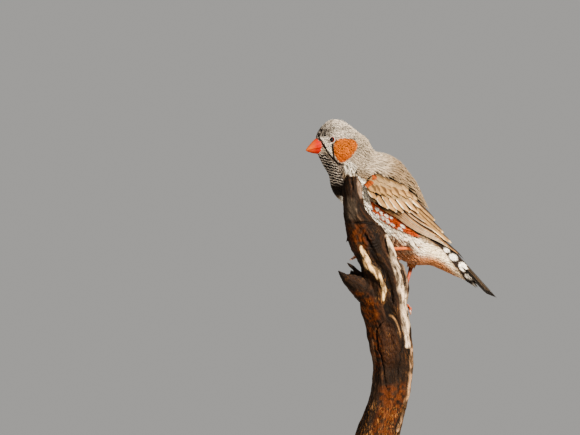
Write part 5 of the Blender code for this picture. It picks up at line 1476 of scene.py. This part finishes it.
def shapeWood(obj):
    # fibres, furrows, the whorl and the knot are pressed into the surface, and its colours are set
    points, normals = vertexPlaces(obj) / mm, vertexPlaces(obj, "normal")
    grain, onStub = grainOf(points)
    x, z = points[:, 0], points[:, 2]
    facing = smoothStep(0.15, -0.35, normals[:, 1])
    fibres = noise(grain, 0.55, 1) * 0.6 + noise(grain, 0.28, 2) * 0.4
    strips = noise(grain, 1.6, 3)
    lumps = noise(points, 3.5, 4)
    depth = branch["fibre"] * fibres + 0.22 * np.minimum(strips, 0.2) + branch["lumps"] * lumps * 0.6
    base = mixed(np.broadcast_to(linear("#120904"), points.shape), linear("#080402"),
        smoothStep(-0.2, 0.7, -strips))
    base = mixed(base, linear("#2f1b0d"), 0.7 * smoothStep(0.0, 0.7, noise(grain, 0.9, 6)))
    # the furrows' mask, which later paints them near black as painted shade
    black = np.zeros(len(points))
    for mark in woodMarks["black"]:
        away, share = toPath(x + 0.35 * noise(points, 1.5, 7), z, mark["path"])
        taper = np.sqrt(np.clip(4 * share * (1 - share), 0.05, 1))
        groove = smoothStep(mark["half"] * taper * 1.5, mark["half"] * taper * 0.5, away) * facing
        depth = depth - groove * mark["deep"]
        black = np.maximum(black, groove)
    cx, cz, radius = woodMarks["whorl"]
    away = np.hypot((x - cx) * 0.95, (z - cz) * 0.8) + 0.4 * noise(points, 2.0, 8)
    ring = smoothStep(radius, radius * 0.8, away) * facing
    depth = depth + ring * (0.16 * np.sin(away * 2 * math.pi / 1.15) - 0.35 * smoothStep(radius, 0, away))
    base = mixed(base, linear("#0c0604"), ring * smoothStep(0.2, 0.9,
        np.sin(away * 2 * math.pi / 1.15 + 2.4)) * 0.8)
    kx, kz, kw, kh = woodMarks["knot"]
    knot = np.hypot((x - kx) / kw, (z - kz) / kh)
    bulge = smoothStep(1.0, 0.3, knot) * facing
    depth = depth + bulge * (0.5 + 0.25 * noise(points, 0.9, 9)) - 0.2 * smoothStep(0.06, 0.0,
        np.abs(knot - 0.62)) * facing
    base = mixed(base, linear("#261206"), bulge * 0.6)
    for outline in woodMarks["rust"]:
        rust = insideOf(x, z, outline, 1.6) * smoothStep(-0.5, 0.3, noise(points, 1.1, 10))
        base = mixed(base, linear("#421c02"), rust * 0.85)
        depth = depth + 0.12 * noise(points, 0.6, 11) * rust
    for outline in woodMarks["grey"]:
        grey = insideOf(x, z, outline, 0.8) * facing
        base = mixed(base, linear("#2b241d"), grey * 0.8)
    for mark in woodMarks["pale"]:
        away, share = toPath(x + 0.7 * noise(points * (1, 1, 0.5), 1.6, 12) + 0.3 * fibres, z, mark["path"])
        taper = np.sqrt(np.clip(4 * share * (1 - share) + 0.25, 0, 1))
        pale = smoothStep(mark["half"] * taper * 1.6, mark["half"] * taper * 0.3, away) * facing
        rubbed = smoothStep(-0.55, 0.4, fibres + 0.5 * noise(grain, 0.9, 13) + 0.5 * noise(points, 1.4, 14))
        base = mixed(base, linear(mark["colour"]), pale * mark["strength"] * (0.08 + 0.92 * rubbed))
        depth = depth + pale * 0.25
    # painted shade: the furrows are painted near black
    base = mixed(base, linear("#060302"), black)
    # the lit arc over the knot is a painted highlight, and fibre tips get painted glints of light
    away = np.abs(knot - 0.98)
    arc = 0.35 * smoothStep(0.06, 0.0, away) * smoothStep(-0.2, 1.6, x - kx) * smoothStep(64.0, 68.0,
        z) * facing
    base = mixed(base, linear("#d9a36c"), arc * 0.8)
    # painted glints of light: how many, low on the trunk and along the first pale strand
    glintPlaces = np.maximum(smoothStep(44, 28, z),
        smoothStep(4, 1, toPath(x, z, woodMarks["pale"][0]["path"])[0]))
    paintedGlint = facing * np.clip(0.34 * glintPlaces - 0.06 + 0.3 * noise(points, 2.6, 16), 0.02, 1)
    # the far and under sides weather to grey-brown
    base = mixed(base, linear("#33261a") * (1 + 0.3 * fibres[:, None]), (1 - facing) * 0.75)
    # painted shade: the broken stem's end and hollow, facing out along it, are darkened near black
    stubHollowShade = smoothStep(0.1, 0.9, onStub) * smoothStep(-0.05, 0.35,
        dot(normals, np.array([-0.757, 0.0, 0.643])))
    base = mixed(base, linear("#0a0603"), stubHollowShade * 0.85)
    setPlaces(obj, points + normals * depth[:, None])
    setColours(obj, "wood", np.clip(base, 0, 1))
    setValues(obj, "paintedGlint", paintedGlint)
    layer = obj.data.attributes.new("grain", "FLOAT_VECTOR", "POINT")
    layer.data.foreach_set("vector", (grain * mm).astype(np.float32).ravel())


def woodMaterial():
    # weathered, barkless wood: dull grey-brown fibres about 0.2 mm apart, IOR 1.5, roughness 0.5 to 0.85
    made, tree, shader, place = newMaterial("weatheredDeadwood", {"IOR": 1.5, "Specular IOR Level": 0.06})
    tint = addNode(tree, "Attribute", {"attribute_name": "wood"})
    grain = addNode(tree, "Attribute", {"attribute_name": "grain"}).outputs["Vector"]
    fine = addNode(tree, "TexNoise", {"Scale": 3600, "Detail": 5, "Roughness": 0.65, "Vector": grain})
    pores = addNode(tree, "TexNoise", {"Scale": 1700, "Detail": 4, "Roughness": 0.7, "Vector": place})
    streak = addNode(tree, "MapRange", {0: fine, "From Min": 0.3, "From Max": 0.7, "To Min": 0.45,
        "To Max": 1.35})
    spots = addNode(tree, "MapRange", {0: pores, "From Min": 0.35, "From Max": 0.62, "To Min": 0.6,
        "To Max": 1.2})
    streaked = addNode(tree, "MixRGB", {**times, "Color1": tint, "Color2": streak})
    spotted = addNode(tree, "MixRGB", {**times, "Color1": streaked, "Color2": spots})
    # painted glints of light on the fibre tips, golden
    tips = addNode(tree, "MapRange", {0: fine, "From Min": 0.55, "From Max": 0.64})
    glintAmount = addNode(tree, "Attribute", {"attribute_name": "paintedGlint"}).outputs["Fac"]
    rubbed = addNode(tree, "Math", {"operation": "MULTIPLY", 0: tips, 1: glintAmount})
    final = addNode(tree, "MixRGB", {"Fac": rubbed, "Color1": spotted, "Color2": rgba("#b57a3a")})
    rough = addNode(tree, "MapRange", {0: pores, "From Min": 0.3, "From Max": 0.7, "To Min": 0.85,
        "To Max": 0.5})
    height = addNode(tree, "Math", {"operation": "MULTIPLY_ADD", 0: pores, 1: 0.6, 2: fine})
    bump = addNode(tree, "Bump", {"Strength": 0.7, "Distance": 0.0003, "Height": height})
    fill(tree, shader, {"Base Color": final, "Roughness": rough, "Normal": bump})
    return made


def makeBranch():
    wood = woodMaterial()

    def trunk(share, turn):
        return trunkPoint(20.0 + 116.0 * np.clip((share - 0.01) / 0.98, 0, 1), turn)

    parts = [wrapped("trunk", 160, 96, trunk, wood)]
    for strand in branch["strands"]:
        parts.append(wrapped("strand", 40, 18, rodPlace(strand["path"], strand["radii"]), wood))
    parts.append(wrapped("stub", 70, 72, stubPlace, wood))
    made = joined("branchWood", parts)
    made.data.remesh_voxel_size = branch["voxel"] * mm
    bpy.ops.object.voxel_remesh()
    made.data.materials.clear()
    made.data.materials.append(wood)
    made.data.shade_smooth()
    shapeWood(made)
    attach(made, "root")
    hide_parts("perch")


makeBranch()
print("branch: trunk, strands and broken stem")


# legs: scaled shanks, toes and claws

legs = {
    "left": {
        "heel": (6.6, -11.8, 104.4), "foot": (64, 104), "paintedLegShade": 0, "toes": {
            "inner": (((84, 104.4), (128, 107.4)), 0.62), "middle": (((88, 103), (172, 100)), 0.70),
            "outer": (((82, 101.6), (124, 95.6)), 0.62), "hind": (((60, 100.6), (6, 99.6)), 0.66)},
    },
    "right": {
        # the right leg is darkened by painted shade, for the shadow of the body over it
        "heel": (5, 5.6, 96.4), "foot": (40, 82.4), "paintedLegShade": 0.85, "toes": {
            "inner": (((58, 83.2), (104, 87)), 0.62), "middle": (((60, 81.6), (128, 79)), 0.70),
            "outer": (((56, 80), (100, 73.8)), 0.62), "hind": (((24, 80.2), (-12, 76.8)), 0.66)},
    },
}
shank = {"radius": 0.72, "heelRadius": 1.0, "palmRadius": 1.35, "scute": 1.05, "clawLength": 3.4}


def scaledLimb(path, radii, scute, front, plateDepth=0.07):
    # overlapping plates over the front half, fine round scales on the sides; front(places) is where the
    # front faces
    path = np.asarray(path, float)
    total = np.linalg.norm(np.diff(path, axis=0), axis=1).sum()

    def place(share, turn):
        middle = alongPath(path, share)
        ahead = unit(alongPath(path, np.minimum(share + 0.01, 1)) - alongPath(path,
            np.maximum(share - 0.01, 0)))
        facing = front(middle)
        forward = unit(facing - ahead * dot(ahead, facing)[:, None])
        aside = np.cross(ahead, forward)
        ring = np.sqrt(np.clip(share / 0.03, 0, 1) * np.clip((1 - share) / 0.03, 0, 1))
        radius = alongPath(np.asarray(radii, float)[:, None], share)[:, 0]
        plate = (share * total / scute) % 1.0
        onFront = smoothStep(110, 60, np.abs(turn))
        groove = smoothStep(0.1, 0.0, np.minimum(plate, 1 - plate))
        bump = plateDepth * (plate - 0.5 - 1.2 * groove) * onFront
        bump = bump - 0.04 * smoothStep(12, 3, np.abs(np.abs(turn) - 88))
        bump = bump + 0.03 * np.sin(turn * 0.35) * np.sin(share * total * 9) * (1 - onFront)
        a = np.radians(turn)
        reach = (radius + bump) * ring
        return middle + forward * (reach * np.cos(a))[:, None] + aside * (reach * np.sin(a))[:, None]
    return place


def legMaterial():
    # scaled skin: thin keratin over flesh, IOR 1.5, roughness 0.5, darker in the joints between its plates
    made, tree, shader, place = newMaterial("scaledOrangeLegSkin", {
        "Roughness": 0.5, "IOR": 1.5, "Specular IOR Level": 0.25, "Subsurface Weight": 0.05,
        "Subsurface Radius": (0.001, 0.0003, 0.0002)})
    cloud = addNode(tree, "TexNoise", {"Scale": 600, "Detail": 3, "Vector": place})
    tint = addNode(tree, "MixRGB", {"Fac": cloud, "Color1": rgba("#a33a10"), "Color2": rgba("#d97a3c")})
    scales = addNode(tree, "TexVoronoi", {"Scale": 3200, "feature": "DISTANCE_TO_EDGE", "Vector": place})
    rims = addNode(tree, "MapRange", {0: scales, "From Max": 0.12, "To Min": 0.72, "To Max": 1.05})
    dark = addNode(tree, "MixRGB", {**times, "Color1": tint, "Color2": rims})
    # painted shade on the right leg, which lies in the body's shadow
    paintedLegShade = addNode(tree, "Attribute", {"attribute_name": "paintedLegShade"}).outputs["Fac"]
    final = addNode(tree, "MixRGB", {"Fac": paintedLegShade, "Color1": dark, "Color2": rgba("#641f08")})
    bump = addNode(tree, "Bump", {"Strength": 0.25, "Distance": 0.0001, "Height": scales})
    fill(tree, shader, {"Base Color": final, "Normal": bump})
    return made


def clawMaterial():
    # horn of the claws: grey-brown, darker to the tip, with a hard shine, IOR 1.54
    made, tree, shader, place = newMaterial("clawHorn", {
        "Roughness": 0.3, "IOR": 1.54, "Coat Weight": 0.3, "Coat Roughness": 0.15})
    reach = addNode(tree, "Attribute", {"attribute_name": "reach"}).outputs["Fac"]
    cloud = addNode(tree, "TexNoise", {"Scale": 1500, "Detail": 3, "Vector": place})
    tint = addNode(tree, "MixRGB", {"Fac": reach, "Color1": rgba("#b5826a"), "Color2": rgba("#3d241c")})
    shade = addNode(tree, "MapRange", {0: cloud, "To Min": 0.8, "To Max": 1.15})
    fill(tree, shader, {"Base Color": addNode(tree, "MixRGB", {**times, "Color1": tint, "Color2": shade}),
                        "Normal": addNode(tree, "Bump",
                        {"Strength": 0.1, "Distance": 0.00005, "Height": cloud})})
    return made


def toePath(route, radius, count=7):
    (angle0, z0), (angle1, z1) = route
    share = np.linspace(0, 1, count)
    lift = radius + 0.45 + 0.2 * np.sin(np.pi * share)
    return trunkPoint(z0 + (z1 - z0) * share, angle0 + (angle1 - angle0) * share, lift)


def awayFromTrunk(places):
    share = np.interp(places[:, 2], trunkStations[:, 0], np.arange(len(trunkStations)))
    middle = np.concatenate([rowAt(trunkStations, share)[:, 1:3], places[:, 2:]], 1)
    return unit(places - middle)


def makeLegs():
    skin, horn = legMaterial(), clawMaterial()
    for side, leg in legs.items():
        heel, hip = np.array(leg["heel"]), np.array(thighs[side]["hip"])
        foot = trunkPoint(leg["foot"][1], leg["foot"][0], shank["palmRadius"] + 0.35)
        path = [heel + unit(hip - heel) * 2.6, heel, heel * 0.7 + foot * 0.3, heel * 0.35 + foot * 0.65,
            foot]
        radii = (0.9, shank["heelRadius"], shank["radius"], shank["radius"], 1.0)
        limbPlace = scaledLimb(path, radii, shank["scute"],
            lambda middle: np.full(middle.shape, (-0.2, -0.1, 1.0)))
        limb = wrapped("shank" + side.title(), 110, 28, limbPlace, skin)
        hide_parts("tarsus_" + side)
        pieces = []
        for toe, (route, radius) in leg["toes"].items():
            places = toePath(route, radius)
            places = np.concatenate([[foot * 0.75 + places[0] * 0.25], places])
            # thicker at every second place for the pads, and wide where the toe leaves the sole
            knuckles = [radius * (1.14, 0.86)[k % 2] for k in range(len(places) - 2)]
            knuckles = [radius * 1.5] + knuckles + [radius * 0.95]
            pieces.append(wrapped("toe", 84, 20, scaledLimb(places, knuckles, 0.62, awayFromTrunk, 0.06),
                skin))
            tip, ahead = places[-1], unit(places[-1] - places[-2])
            inward = -awayFromTrunk(tip[None])[0]
            curve = [tip - ahead * 0.5]
            for s in (0.0, 0.25, 0.5, 0.75, 1.0):
                curve.append(tip + ahead * (0.1 + shank["clawLength"] * s) - inward * (0.75
                    * math.sin(math.pi * s * 0.75)))
            thickness = [radius * part for part in (0.72, 0.74, 0.66, 0.5, 0.28)] + [0.05]
            claw = wrapped("claw" + side.title() + toe.title(), 36, 16, rodPlace(curve, thickness), horn)
            reach = np.linalg.norm(vertexPlaces(claw) / mm - tip, axis=1) / shank["clawLength"]
            setValues(claw, "reach", np.clip(reach, 0, 1))
            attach(claw, "root")
            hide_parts(f"claw_{side}_{toe}")
        deselectAll()
        bpy.ops.mesh.primitive_ico_sphere_add(subdivisions=4, radius=shank["palmRadius"] * mm,
            location=foot * mm)
        palm = bpy.context.object
        bpy.ops.object.transform_apply(location=True, rotation=True, scale=True)
        palm.data.materials.append(skin)
        palm.data.shade_smooth()
        sole = joined("foot" + side.title(), pieces + [palm])
        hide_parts("foot_" + side)
        for piece in (limb, sole):
            setValues(piece, "paintedLegShade", np.full(len(piece.data.vertices), leg["paintedLegShade"]))
            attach(piece, "root")


makeLegs()
print("legs: shanks, toes and claws")


# stand: the turned base and the steel pin keep the solids' shapes and get their finish

def standMaterials():
    # stained hardwood under satin lacquer: roughness about 0.35, IOR 1.5, growth rings 1.4 mm apart,
    # pores 0.15 mm
    wood, tree, shader, place = newMaterial("darkTurnedHardwood", {
        "Roughness": 0.38, "IOR": 1.5, "Coat Weight": 0.3, "Coat Roughness": 0.25})
    along = addNode(tree, "Mapping", {"Location": (0.11, 0.02, 0.0), "Scale": (1.0, 0.12, 1.0),
        "Vector": place})
    rings = addNode(tree, "TexWave", {"wave_type": "BANDS", "bands_direction": "X", "Scale": 110,
        "Distortion": 3.0,
                                      "Detail": 3, "Detail Scale": 1.5, "Vector": along}).outputs["Fac"]
    pores = addNode(tree, "TexNoise", {"Scale": 4200, "Detail": 3, "Vector": along})
    tint = addNode(tree, "MixRGB", {"Fac": rings, "Color1": rgba("#2e1b12"), "Color2": rgba("#5b3a26")})
    shade = addNode(tree, "MapRange", {0: pores, "From Min": 0.35, "From Max": 0.6, "To Min": 0.6,
        "To Max": 1.1})
    fill(tree, shader, {"Base Color": addNode(tree, "MixRGB", {**times, "Color1": tint, "Color2": shade}),
                        "Normal": addNode(tree, "Bump",
                        {"Strength": 0.15, "Distance": 0.0001, "Height": pores})})
    # brushed steel pin: fine rings round it, roughness about 0.3
    steel, tree, shader, place = newMaterial("brushedSteelPin",
        {"Metallic": 1.0, "Base Color": rgba("#b9bbbd")})
    brushed = addNode(tree, "Mapping", {"Scale": (1.0, 1.0, 30.0), "Vector": place})
    lines = addNode(tree, "TexNoise", {"Scale": 400, "Detail": 4, "Vector": brushed})
    fill(tree, shader, {"Roughness": addNode(tree, "MapRange", {0: lines, "To Min": 0.2, "To Max": 0.42}),
                        "Normal": addNode(tree, "Bump",
                        {"Strength": 0.08, "Distance": 0.00005, "Height": lines})})
    for node, material in (("stand_base", wood), ("stand_rod", steel)):
        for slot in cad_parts[node].material_slots:
            slot.material = material


standMaterials()
print("stand: lacquered base and steel pin")
